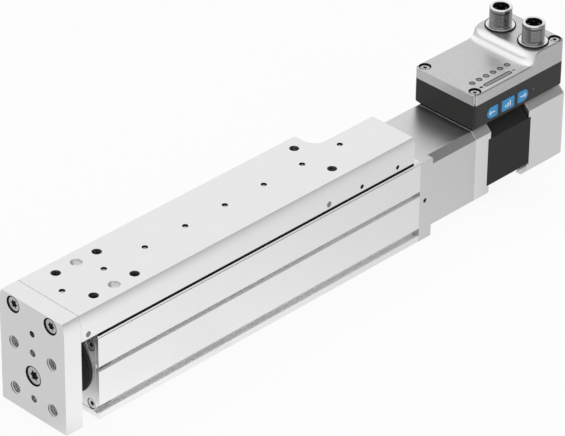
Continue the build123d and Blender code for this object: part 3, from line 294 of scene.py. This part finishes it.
# %% Finish the CAD nodes
slot_of = {part["node"]: part["material_slot"] for part in frame["record"]["subparts"]}
for node, slot in slot_of.items():
    data = nodes[node].data
    data.materials.clear()
    data.materials.append(finishes[slot])
nodes["status_lens"].data.materials[0] = finishes["lens_dull"]
print("CAD nodes finished", len(slot_of))

# %% [markdown]
# A machined edge is never knife sharp: it has a tiny chamfer or radius that catches the light. A copy of
# the node's mesh is merged, its flat faces are joined, and each hard edge gets a small bevel. A Weighted
# Normal modifier keeps the big faces flat to the eye while the bevels shade round.

# %% Tools that add pieces and break sharp edges
hard_edge = radians(35)
nearly_flat = radians(0.3)
cad_weld, fine_weld = 1e-6, 1e-7


def add_piece(name, bm, slot, body, weighted=False, finish=None):
    """Turns a bmesh into a piece that rides on a CAD body, in its slot's finish unless another is named."""
    mesh = bpy.data.meshes.new(name)
    for face in bm.faces:
        face.smooth = True
    bm.to_mesh(mesh)
    bm.free()
    mesh.set_sharp_from_angle(angle=hard_edge)
    mesh.materials.append(finishes[finish or slot])
    piece = bpy.data.objects.new(name, mesh)
    bpy.context.scene.collection.objects.link(piece)
    if weighted:
        normals = piece.modifiers.new("even_normals", "WEIGHTED_NORMAL")
        normals.keep_sharp = True
    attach(piece, body)
    return piece


def merged(node):
    """A node's mesh as a bmesh, with its loose triangles merged and its flat faces joined."""
    bm = bmesh.new()
    bm.from_mesh(nodes[node].data)
    bmesh.ops.remove_doubles(bm, verts=bm.verts, dist=cad_weld)
    bmesh.ops.dissolve_limit(bm, angle_limit=nearly_flat, verts=bm.verts, edges=bm.edges)
    return bm


def soften(node, width, finish=None):
    """Replaces a CAD node by a copy whose hard edges are bevelled by width millimetres."""
    bm = merged(node)
    hard = [edge for edge in bm.edges if edge.is_manifold and edge.calc_face_angle() > hard_edge]
    bmesh.ops.bevel(bm, geom=hard, offset=width * mm, offset_type="OFFSET", segments=2, profile=0.5,
                    affect="EDGES", clamp_overlap=False, material=-1)
    piece = add_piece(node + "_fine", bm, slot_of[node], nodes[node]["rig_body"], weighted=True,
                      finish=finish)
    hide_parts(node)
    print(node, "faces", len(piece.data.polygons))


print("edge tools ready")

# %% [markdown]
# How far an edge is broken depends on the part. The motor's bells and the coupling housing lose most,
# milled parts a little less, and screws and the thin cover least. The bearing cap and the coupling housing
# are of the same metal as their neighbours, in a darker anodising.

# %% Break the edges of the visible parts
edge_widths = {
    "base_profile": 0.15, "slide_table": 0.15, "yoke_plate": 0.12, "front_cap": 0.15, "bearing_cap": 0.15,
    "coupling_housing": 0.2, "motor_front_bell": 0.2, "motor_rear_bell": 0.2, "control_base": 0.15,
    "left_button": 0.15, "middle_button": 0.15, "right_button": 0.15, "yoke_screws": 0.12, "rod_screw": 0.12,
    "front_cap_screws": 0.1, "motor_bolts": 0.1, "cover_screws": 0.1, "control_cover": 0.12,
}
darker_housings = {"bearing_cap": "housing_aluminium", "coupling_housing": "housing_aluminium"}
for node, width in edge_widths.items():
    soften(node, width, darker_housings.get(node))
print("softened parts", len(edge_widths))

# %% [markdown]
# The T-slots of the profile would shade dark inside, so their walls get painted light: a second finish on the
# same piece, a lighter and less mirror-like copy of the aluminium. Every face that lies deep enough behind
# the side and near the middle height of a slot belongs to them.

# %% Painted light in the slots of the profile
slot_floor, slot_mouth = 18.0, 22.4
slot_zones = ((28.75, 2.6), (5.95, 3.3))
profile = bpy.data.objects["base_profile_fine"]
profile.data.materials.append(finishes["slot_painted_light"])
slot_walls = 0
for face in profile.data.polygons:
    across, height = abs(face.center.y) / mm, face.center.z / mm
    in_a_zone = any(abs(height - middle) < reach for middle, reach in slot_zones)
    if slot_floor < across < slot_mouth and in_a_zone:
        face.material_index = 1
        slot_walls += 1
print("slot walls", slot_walls)

# %% [markdown]
# Round parts are turned on a lathe, and the spin operator does the same: half of the part's section is
# drawn as an outline of radius and height, and goes round its axis once. The result is merged where it
# meets itself, and its normals are then recalculated, because a spin can leave them inside out. A thread is
# the same spin with a step along the axis: a small triangle climbs round and round.

# %% Tools for turned pieces and threads
def closed_mesh(bm):
    """Merges what meets, turns the faces outwards and returns the bmesh as a mesh."""
    bmesh.ops.remove_doubles(bm, verts=bm.verts, dist=fine_weld)
    bmesh.ops.recalc_face_normals(bm, faces=bm.faces)
    mesh = bpy.data.meshes.new("shape")
    bm.to_mesh(mesh)
    bm.free()
    return mesh


def turned(outline, steps=48):
    """A ring or sleeve round Z, spun from a closed outline of (radius, height) points in millimetres."""
    bm = bmesh.new()
    corners = [bm.verts.new((radius * mm, 0.0, height * mm)) for radius, height in outline]
    edges = [bm.edges.new(pair) for pair in zip(corners, corners[1:] + corners[:1])]
    bmesh.ops.spin(bm, geom=corners + edges, cent=(0, 0, 0), axis=(0, 0, 1), angle=2 * pi, steps=steps,
                   use_merge=True)
    return closed_mesh(bm)


flank = 0.6
steps_per_turn = 32


def thread(root, crest, start, end, pitch):
    """A screw thread's ridge round Z, from height start to height end, in millimetres."""
    half = abs(crest - root) * flank
    turns = (end - start - 2 * half) / pitch
    bm = bmesh.new()
    tooth = ((root, start), (crest, start + half), (root, start + 2 * half))
    corners = [bm.verts.new((radius * mm, 0.0, height * mm)) for radius, height in tooth]
    bm.faces.new(corners)
    steps = round(turns * steps_per_turn)
    bmesh.ops.spin(bm, geom=list(bm.faces) + list(bm.edges) + corners, cent=(0, 0, 0), axis=(0, 0, 1),
                   dvec=(0, 0, pitch * mm / steps_per_turn), angle=2 * pi * steps / steps_per_turn,
                   steps=steps)
    return closed_mesh(bm)


def gather(shapes):
    """One bmesh of several (mesh, placement) pairs."""
    bm = bmesh.new()
    for mesh, placement in shapes:
        first_new = len(bm.verts)
        bm.from_mesh(mesh)
        bmesh.ops.transform(bm, matrix=placement, verts=bm.verts[:][first_new:])
    return bm


facings = {"up": Matrix(), "front": Matrix.Rotation(-pi / 2, 4, "Y"), "near": Matrix.Rotation(pi / 2, 4, "X")}


def at(x, y, z, facing="up"):
    """A placement in millimetres, whose local Z looks up, towards the yoke (front) or sideways (near)."""
    return Matrix.Translation((x * mm, y * mm, z * mm)) @ facings[facing]


def add_black(name, shapes, body):
    """Several (mesh, placement) pairs as one piece in the deepest black, in the record's slot for rubber."""
    add_piece(name, gather(shapes), "rubber_black", body, finish="deep_black")
    print(name, len(shapes))


print("turning tools ready")

# %% [markdown]
# The screw heads lie in counterbores that look black beside the bright head, because little light gets down
# between head and wall. That shade is painted: each well gets a thin black sleeve that stops just under the
# surface, so that the head stands out against it. Heights in a well are counted from its mouth.

# %% Painted shade in the wells of the screws
yoke_front, table_top, deck, platform = -131.55, 63.8, 68.4, 75.0
yoke_screw_y, yoke_screw_z, rod_axis_z = 12.9, 58.9, 24.3
first_rail_screw, rail_screw_step = -112.1, 26.65
cover_screw_y = 17.3
shade_clearance, mouth_slope = 0.01, 0.1


def well(bore, depth, wall=0.5, lip=0.03):
    """A black sleeve of painted shade on the wall of a bore, with its mouth at height 0."""
    outer = bore - shade_clearance
    return turned(((outer, -lip), (outer, -depth), (outer - wall, -depth),
                   (outer - wall, -lip - mouth_slope)))


yoke_well, rod_well = well(4.5, 3.98), well(5.4, 4.58)
cover_well, rail_well = well(3.3, 2.58, wall=0.55), well(1.53, 0.69, wall=0.3)
yoke_well_shades = [(yoke_well, at(yoke_front, side * yoke_screw_y, yoke_screw_z, "front")) for side in (-1, 1)]
yoke_well_shades.append((rod_well, at(yoke_front, 0, rod_axis_z, "front")))
cover_screw_places = [(x, side * cover_screw_y, z) for x, z in ((154.7, deck), (215.1, platform))
                      for side in (-1, 1)]
rail_screw_places = [(first_rail_screw + rail_screw_step * k, 0, table_top) for k in range(8)]
# painted shade: black sleeves in the counterbores stand in for the shade between head and wall
add_black("yoke_screw_well_shade", yoke_well_shades, "slide")
add_black("cover_screw_well_shade", [(cover_well, at(*place)) for place in cover_screw_places], "housing")
add_black("rail_screw_well_shade", [(rail_well, at(*place)) for place in rail_screw_places], "slide")

# %% [markdown]
# The six-lobe sockets of the screws lie in shade for the same reason, and that shade is painted: a black disc
# crosses each head a little under its face. It shows only where the socket is open, so the socket gives it
# its star shape. The two small holes in the table's near side get such a disc of painted shade too.

# %% Painted shade in the sockets
disc_thickness = 0.1
socket_depth = 0.35
head_less_counterbore = {"yoke": 3.4 - 4.0, "rod": 4.0 - 4.6, "cover": 1.9 - 2.6}
side_hole_y, side_hole_z = 0.3 - 22.5, 52.1


def shade_disc(radius):
    """A thin disc in the XY plane, in millimetres, for painted shade."""
    bm = bmesh.new()
    bmesh.ops.create_cone(bm, cap_ends=True, radius1=radius * mm, radius2=radius * mm,
                          depth=disc_thickness * mm, segments=24)
    return closed_mesh(bm)


yoke_disc_x = yoke_front + socket_depth - head_less_counterbore["yoke"]
rod_disc_x = yoke_front + socket_depth - head_less_counterbore["rod"]
slide_socket_shades = [(shade_disc(2.2), at(yoke_disc_x, side * yoke_screw_y, yoke_screw_z, "front"))
                 for side in (-1, 1)]
slide_socket_shades.append((shade_disc(2.8), at(rod_disc_x, 0, rod_axis_z, "front")))
slide_socket_shades += [(shade_disc(1.18), at(x, side_hole_y, side_hole_z, "near")) for x in (67.5, 93.1)]
cover_socket_shades = [(shade_disc(1.5), at(x, y, z + head_less_counterbore["cover"] - socket_depth))
                 for x, y, z in cover_screw_places]
cap_disc_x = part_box("front_cap_screws")[0][0] / mm + socket_depth
cap_socket_shades = [(shade_disc(1.6), at(cap_disc_x, y, z, "front")) for y in (-16.9, 16.9) for z in (6.5, 40.2)]
# painted shade: black discs in the sockets and side holes stand in for their shade
add_black("slide_screw_socket_shade", slide_socket_shades, "slide")
add_black("cover_screw_socket_shade", cover_socket_shades, "housing")
add_black("cap_screw_socket_shade", cap_socket_shades, "housing")

# %% [markdown]
# The yoke plate is screwed against the table's end. Both have broken edges, so a fine groove runs round the
# joint, and a black film of sealing compound in it draws the line that the eye sees. The film has the
# table's own section: a slice is cut off a copy of the table with bisect_plane, closed, and made a touch
# smaller.

# %% Joint between the yoke plate and the table
table_front = -120.95
film_thickness = 0.2
film_share = 0.998
shrink_height = 55
bm = merged("slide_table")
bmesh.ops.bisect_plane(bm, geom=list(bm.verts) + list(bm.edges) + list(bm.faces), dist=fine_weld,
                       plane_co=((table_front + film_thickness) * mm, 0, 0), plane_no=(1, 0, 0),
                       clear_outer=True)
bmesh.ops.holes_fill(bm, edges=[edge for edge in bm.edges if edge.is_boundary], sides=0)
bmesh.ops.scale(bm, verts=bm.verts, vec=(1.0, film_share, film_share),
                space=Matrix.Translation((0, 0, -shrink_height * mm)))
bmesh.ops.translate(bm, verts=bm.verts, vec=(-film_thickness / 2 * mm, 0, 0))
add_piece("joint_film", bm, "rubber_black", "slide", finish="deep_black")
print("joint film at x", table_front)

# %% [markdown]
# The table's skirts hang over the base and leave a gap of about a millimetre, which lies in shade. A black
# strip of painted shade under each skirt makes the gap a black line. The near strip has a thin lip outside
# the base, and the far one ends where the table is cut back. A box is enough for a strip.

# %% Painted shade strips under the skirts
def block(low, high):
    """A box between two corners in millimetres."""
    bm = bmesh.new()
    bmesh.ops.create_cube(bm, size=1.0)
    low, high = Vector(low), Vector(high)
    bmesh.ops.scale(bm, verts=bm.verts, vec=(high - low) * mm)
    bmesh.ops.translate(bm, verts=bm.verts, vec=(low + high) / 2 * mm)
    return closed_mesh(bm)


base_top, skirt_bottom = 48.0, 49.4
strip_front, strip_rear, cut_front = -110.0, 105.0, 60.0
strip_inner, strip_outer, lip_inner, lip_outer = 19.5, 22.12, 22.17, 22.4
strip_bottom, lip_bottom = base_top + 0.03, base_top - 0.3
# painted shade: black boxes fill the gaps under the skirts
gap_shades = [block((strip_front, -strip_outer, strip_bottom), (strip_rear, -strip_inner, skirt_bottom)),
         block((strip_front, -lip_outer, lip_bottom), (strip_rear, -lip_inner, skirt_bottom)),
         block((strip_front, strip_inner, strip_bottom), (cut_front, strip_outer, skirt_bottom))]
add_black("skirt_gap_shade", [(strip, Matrix()) for strip in gap_shades], "slide")

# %% [markdown]
# The mounting holes of the table and of the yoke plate are tapped. The CAD holes have the thread's outer
# size, so the thread is added inside them: a ridge that climbs one pitch a turn, over a length that the eye
# can reach. The table's holes are looked into steeply and are dark, and that shade is painted: their threads
# are black. The yoke's catch more light, and their threads get the darker housing grey as a lighter painted
# shade.

# %% Threads of the mounting holes
hole_y = 13.15
table_hole_x = (-104.15, -77.85, 55.5)
yoke_hole_z = (11.15, 37.45)
table_thread = thread(root=2.5, crest=2.12, start=-5.9, end=-0.25, pitch=1.0)
yoke_thread = thread(root=3.4, crest=2.95, start=-10.4, end=-0.3, pitch=1.25)
table_threads = [(table_thread, at(x, y, table_top)) for x in table_hole_x for y in (-hole_y, hole_y)]
yoke_threads = [(yoke_thread, at(yoke_front, y, z, "front")) for y in (-hole_y, hole_y) for z in yoke_hole_z]
# painted shade: the table's threads are black and the yoke's a darker grey than the plate, for the shade in
# the holes
add_piece("table_threads", gather(table_threads), "anodised", "slide", finish="black_plastic")
add_piece("yoke_threads", gather(yoke_threads), "anodised", "slide", finish="housing_aluminium")
print("threaded holes", len(table_threads) + len(yoke_threads))

# %% [markdown]
# Each connector is a turned shell: a flat collar on a seal ring, a plug thread, a groove, a smooth guiding
# band and a bright chamfered rim. The black sleeve inside carries the pins. Rim and collar are bright
# metal, and the shell between them is darker, so they are pieces of their own.

# %% Shapes of the connectors
bore = 4.4
shell_foot, connector_foot, connector_top = 70.35, 75.35, 86.05
shell = turned((
    (bore, shell_foot), (7.0, shell_foot), (7.0, connector_foot), (7.2, connector_foot), (7.2, 75.6),
    (5.7, 75.6), (5.7, 84.0), (5.3, 84.1), (5.3, 84.5), (5.98, 84.65), (5.98, 85.95), (5.9, connector_top),
    (bore, connector_top)), steps=64)
plug_thread = thread(root=5.68, crest=5.98, start=75.9, end=84.1, pitch=0.8)
rim = turned(((bore, 86.0), (5.92, 86.0), (5.5, 86.5), (4.75, 86.5), (bore, 86.25)), steps=64)
collar = turned(((5.72, 75.5), (5.72, 75.85), (7.5, 75.85), (7.7, 75.7), (7.7, connector_foot),
                 (7.2, 75.36)), steps=64)
sleeve_outer, sleeve_inner = bore - 0.01, bore - 0.35
sleeve = turned(((sleeve_outer, 81.05), (sleeve_outer, 86.1), (sleeve_inner, 85.9), (sleeve_inner, 81.05)))
seal_foot = connector_foot - 0.2
collar_seal = turned(((7.72, seal_foot), (8.15, seal_foot), (8.15, 75.7), (7.72, 75.75)))
print("connector shapes ready")

# %% [markdown]
# The two connectors are alike, so their shapes are made once and placed over each CAD connector's middle.

# %% Connectors
connectors = ("supply_connector", "signal_connector")
for node in connectors:
    low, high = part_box(node)
    place = Matrix.Translation(((low[0] + high[0]) / 2, (low[1] + high[1]) / 2, 0))
    fine = add_piece(node + "_fine", gather([(shell, place), (plug_thread, place)]), "connector_metal",
                     "housing")
    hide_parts(node)
    add_piece(node + "_rim_and_collar", gather([(rim, place), (collar, place)]), "connector_metal", "housing",
              finish="anodised")
    add_piece(node + "_sleeve", gather([(sleeve, place)]), "black_plastic", "housing", finish="deep_black")
    add_black(node + "_ring", [(collar_seal, place)], "housing")
print("connectors", len(connectors))

# %% [markdown]
# The cover's sunk lenses have a thin printed outline, and a plus and a minus stand at the ends of the level
# window. Prints are modelled as films a few hundredths of a millimetre thick, flat on the deck. The
# window's outline starts as a circle whose two halves are pulled apart, which gives a slot with round ends.

# %% Tools for prints
film = 0.02


def bar(length, width, angle=0.0, offset=(0.0, 0.0)):
    """A flat bar in the XY plane, turned by angle degrees, in millimetres."""
    bm = bmesh.new()
    bmesh.ops.create_cube(bm, size=mm)
    bmesh.ops.scale(bm, verts=bm.verts, vec=(length, width, 2 * film))
    bmesh.ops.rotate(bm, verts=bm.verts, matrix=Matrix.Rotation(radians(angle), 3, "Z"))
    bmesh.ops.translate(bm, verts=bm.verts, vec=(offset[0] * mm, offset[1] * mm, 0.0))
    return closed_mesh(bm)


def slot_outline(length, width, line):
    """The outline of a slot with round ends, as a flat ring."""
    bm = bmesh.new()
    bmesh.ops.create_circle(bm, cap_ends=True, radius=(width / 2 + line) * mm, segments=32)
    for side in (-1, 1):
        half = [vert for vert in bm.verts if vert.co.x * side > fine_weld]
        bmesh.ops.translate(bm, verts=half, vec=(side * (length - width) / 2 * mm, 0.0, 0.0))
    bmesh.ops.inset_region(bm, faces=bm.faces, thickness=line * mm, use_boundary=True, use_even_offset=True)
    middle_face = max(bm.faces, key=lambda face: len(face.verts))
    bmesh.ops.delete(bm, geom=[middle_face], context="FACES")
    bmesh.ops.solidify(bm, geom=bm.faces, thickness=2 * film * mm)
    lowest = min(vert.co.z for vert in bm.verts)
    bmesh.ops.translate(bm, verts=bm.verts, vec=(0.0, 0.0, -film * mm - lowest))
    return closed_mesh(bm)


print("print tools ready")

# %% [markdown]
# The outlines and marks of the deck are one print, so they are one piece. Six lenses stand in a row, and
# the level window runs beside them.

# %% Prints on the deck
first_lens_x, lens_step, lens_y, lens_count = 159.5, 5.28, -11.0, 6
lens_outline = turned(((1.15, -film), (1.15, film), (1.72, film), (1.72, -film)), steps=32)
marks = [(lens_outline, at(first_lens_x + lens_step * k, lens_y, deck)) for k in range(lens_count)]
marks.append((slot_outline(length=19.5, width=1.7, line=0.55), at(172.15, -17.0, deck)))
plus, minus = at(159.9, -16.9, deck), at(184.4, -16.9, deck)
marks += [(bar(2.1, 0.8), plus), (bar(0.8, 2.1), plus), (bar(2.0, 0.7), minus)]
add_piece("deck_prints", gather(marks), "print_dark", "housing")
print("deck prints", len(marks))

# %% [markdown]
# The buttons carry white signs: an arrow to each side on the outer two, and a plain sign of three bars on
# the middle one. Each sign rides on its own button, so it moves in with the button when that is pressed.

# %% Signs of the buttons
button_face, button_height = -21.2, 53.5
shaft_length, head_length, stroke = 4.4, 1.9, 0.55
head_angle, head_x, head_y = 40, 1.55, 0.55
for button, x, turn in (("left_button", 164.4, 180), ("right_button", 188.0, 0)):
    strokes = [bar(shaft_length, stroke), bar(head_length, stroke, -head_angle, (head_x, head_y)),
               bar(head_length, stroke, head_angle, (head_x, -head_y))]
    place = at(x, button_face, button_height, "near") @ Matrix.Rotation(radians(turn), 4, "Z")
    add_piece(button + "_sign", gather([(line, place) for line in strokes]), "print_white",
              nodes[button]["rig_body"])
bar_width, bar_step, bar_heights = 0.7, 1.6, (1.7, 2.4, 3.2)
bars = [bar(bar_width, height, 0, (bar_step * k, (height - bar_heights[-1]) / 2))
        for k, height in zip((-1, 0, 1), bar_heights)]
place = at(176.4, button_face, button_height, "near")
add_piece("middle_button_sign", gather([(line, place) for line in bars]), "print_white",
          nodes["middle_button"]["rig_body"])
print("strokes of an arrow", len(strokes), "bars", len(bars))

# %% [markdown]
# The camera looks down at 33 degrees on the yoke's near corner, from almost two metres away and through a
# very long lens, so that the slide's long edges stay nearly parallel. Its place is given from a measured
# point on the slide's axis: so far back, so far to the right and so far up, in the camera's own directions.

# %% Camera
camera_azimuth = radians(-45.461)
camera_elevation = radians(32.907)
camera_roll = radians(0.688)
camera_distance = 1890.5
camera_right = 33.19
camera_up = 49.63
measured_origin = Vector((-12.015, 0.0, 0.0))
lens_pixels = 3836.3
picture_width = 565
sensor = 36.0
far_end = 20.0

level_right = Vector((cos(camera_azimuth), sin(camera_azimuth), 0.0))
back = Vector((sin(camera_azimuth) * cos(camera_elevation), -cos(camera_azimuth) * cos(camera_elevation),
               sin(camera_elevation)))
level_up = back.cross(level_right)
right = level_right * cos(camera_roll) + level_up * sin(camera_roll)
up = level_up * cos(camera_roll) - level_right * sin(camera_roll)
place = measured_origin + right * camera_right + up * camera_up + back * camera_distance

camera_data = bpy.data.cameras.new("camera")
camera_data.sensor_width = sensor
camera_data.lens = lens_pixels / picture_width * sensor
camera_data.clip_end = far_end
camera = bpy.data.objects.new("camera", camera_data)
bpy.context.scene.collection.objects.link(camera)
turn = Matrix((right, up, back)).transposed().to_4x4()
camera.matrix_world = Matrix.Translation(place * mm) @ turn
bpy.context.scene.camera = camera
print("lens in mm", round(camera_data.lens, 1))

# %% [markdown]
# The studio is a white floor and a white sky. The camera and the reflections see both as white, while the
# light that they give is set apart from that, so the object isn't washed out. Light Path tells which kind
# of ray asks, and a stage sheet is a flat plane that isn't part of the object.

# %% Tools for the studio
def path_share(tree, *rays):
    """1 for rays of the named kinds, else 0."""
    path = tree.nodes.new("ShaderNodeLightPath")
    result = path.outputs[rays[0]]
    for ray in rays[1:]:
        either = tree.nodes.new("ShaderNodeMath")
        either.operation = "MAXIMUM"
        tree.links.new(result, either.inputs[0])
        tree.links.new(path.outputs[ray], either.inputs[1])
        result = either.outputs["Value"]
    return result


def stage_sheet(name, width, height, placement):
    """A flat studio sheet, which is not part of the object; returns it and its finish's tree."""
    bm = bmesh.new()
    bmesh.ops.create_grid(bm, x_segments=1, y_segments=1, size=0.5)
    bmesh.ops.scale(bm, verts=bm.verts, vec=(width, height, 1.0))
    bmesh.ops.transform(bm, verts=bm.verts, matrix=placement)
    mesh = bpy.data.meshes.new(name)
    bm.to_mesh(mesh)
    bm.free()
    sheet = bpy.data.objects.new(name, mesh)
    bpy.context.scene.collection.objects.link(sheet)
    finish = bpy.data.materials.new(name)
    finish.use_nodes = True
    mesh.materials.append(finish)
    return sheet, finish.node_tree


print("studio tools ready")

# %% [markdown]
# The sky is white to the camera, to reflections and through glass, and lights the object at half that.

# %% Sky
seeing_rays = ("Is Camera Ray", "Is Glossy Ray", "Is Transmission Ray")
full_white = (1.0, 1.0, 1.0, 1.0)
sky_light = 0.5
world = bpy.data.worlds.new("studio")
bpy.context.scene.world = world
world.use_nodes = True
tree = world.node_tree
white_sky = tree.nodes.new("ShaderNodeBackground")
white_sky.inputs["Color"].default_value = full_white
sky = tree.nodes["Background"]
sky.inputs["Color"].default_value = full_white
sky.inputs["Strength"].default_value = sky_light
mix = tree.nodes.new("ShaderNodeMixShader")
tree.links.new(path_share(tree, *seeing_rays), mix.inputs["Fac"])
tree.links.new(sky.outputs["Background"], mix.inputs[1])
tree.links.new(white_sky.outputs["Background"], mix.inputs[2])
tree.links.new(mix.outputs["Shader"], tree.nodes["World Output"].inputs["Surface"])
print("sky made")

# %% [markdown]
# The floor is white paper that keeps a trace of the object's shadow. What metal mirrors shapes it, as in a
# real studio, so the paper that reflections see is not the same all over: it gets a little darker along the
# slide, and is greyer in front of the yoke and beside the motor. Three ramps set that, each a factor on the
# glow.

# %% Floor
floor_glow = 0.92
floor_size = 6.0
under_the_object = 0.0002
paper_tone, paper_roughness = 0.85, 0.9
across_the_yoke, across_the_motor = (-0.7071, 0.7071, 0.0), (0.7071, 0.7071, 0.0)

floor_place = Matrix.Translation((0.0, 0.0, cad_box[0][2] - under_the_object))
floor, tree = stage_sheet("floor", floor_size, floor_size, floor_place)
paper = tree.nodes["Principled BSDF"]
paper.inputs["Base Color"].default_value = (*grey(paper_tone), 1.0)
paper.inputs["Roughness"].default_value = paper_roughness
white = tree.nodes.new("ShaderNodeEmission")
mirrored = tree.nodes.new("ShaderNodeEmission")
along_slide = ramp(tree, along_travel, start=-0.12, end=0.19, low=1.19, high=0.86)
before_yoke = ramp(tree, across_the_yoke, start=0.055, end=0.095, low=1.0, high=0.64)
beside_motor = ramp(tree, across_the_motor, start=0.086, end=0.105, low=1.0, high=0.84)
mirrored_paper = multiply(tree, multiply(tree, along_slide, before_yoke), beside_motor)
tree.links.new(mirrored_paper, mirrored.inputs["Strength"])
seen = tree.nodes.new("ShaderNodeMixShader")
tree.links.new(path_share(tree, "Is Glossy Ray"), seen.inputs["Fac"])
tree.links.new(white.outputs["Emission"], seen.inputs[1])
tree.links.new(mirrored.outputs["Emission"], seen.inputs[2])
share = tree.nodes.new("ShaderNodeMath")
share.operation = "MULTIPLY"
share.inputs[1].default_value = floor_glow
tree.links.new(path_share(tree, *seeing_rays), share.inputs[0])
mix = tree.nodes.new("ShaderNodeMixShader")
tree.links.new(share.outputs["Value"], mix.inputs["Fac"])
tree.links.new(paper.outputs["BSDF"], mix.inputs[1])
tree.links.new(seen.outputs["Shader"], mix.inputs[2])
tree.links.new(mix.outputs["Shader"], tree.nodes["Material Output"].inputs["Surface"])
print(floor.name, "size in m", floor_size)

# %% [markdown]
# A pale object in a white studio has no edges. In a real studio, dark cards stand beside it and out of
# view, so that chamfers and rounded shoulders have something dark to mirror. This card stands to the right,
# gets darker towards its top, and is seen by reflections only: it neither shades the object nor throws a
# shadow.

# %% Dark card
card_azimuth = radians(-47)
card_distance, card_middle = 1.2, 1.0
card_width, card_height = 1.4, 2.0
card_turn = Matrix.Rotation(card_azimuth - pi / 2, 4, "Z") @ Matrix.Rotation(pi / 2, 4, "X")
card_place = Matrix.Translation((cos(card_azimuth) * card_distance, sin(card_azimuth) * card_distance,
                                 card_middle))
card, tree = stage_sheet("dark_card", card_width, card_height, card_place @ card_turn)
tree.nodes.remove(tree.nodes["Principled BSDF"])
shade = tree.nodes.new("ShaderNodeEmission")
tree.links.new(ramp(tree, upwards, start=0.0, end=0.7, low=0.6, high=0.21), shade.inputs["Strength"])
tree.links.new(shade.outputs["Emission"], tree.nodes["Material Output"].inputs["Surface"])
card.visible_camera = False
card.visible_diffuse = False
card.visible_shadow = False
print(card.name, "size in m", (card_width, card_height))

# %% [markdown]
# Two large soft lamps light the plastics and give the shadow on the floor, one from above and one from the
# near side. They don't show in reflections, because a mirrored lamp would burn the pale metal out to white.

# %% Lamps
def soft_lamp(name, place, aim, size, power):
    """A square lamp at place that points at aim, both in metres."""
    data = bpy.data.lights.new(name, "AREA")
    data.size = size
    data.energy = power
    lamp = bpy.data.objects.new(name, data)
    bpy.context.scene.collection.objects.link(lamp)
    direction = Vector(aim) - Vector(place)
    turn = direction.to_track_quat("-Z", "Y").to_matrix().to_4x4()
    lamp.matrix_world = Matrix.Translation(Vector(place)) @ turn
    return lamp


middle = (Vector(cad_box[0]) + Vector(cad_box[1])) / 2
for lamp in (soft_lamp("top_lamp", (0.1, 0.15, 1.1), middle, size=1.0, power=5.0),
             soft_lamp("near_lamp", (0.0, -1.1, 0.45), middle, size=0.9, power=4.0)):
    lamp.visible_glossy = False
    print(lamp.name, "watts", lamp.data.energy)

# %% [markdown]
# The Standard view shows a colour about as it is written.

# %% Finish the scene
bpy.context.scene.view_settings.view_transform = "Standard"
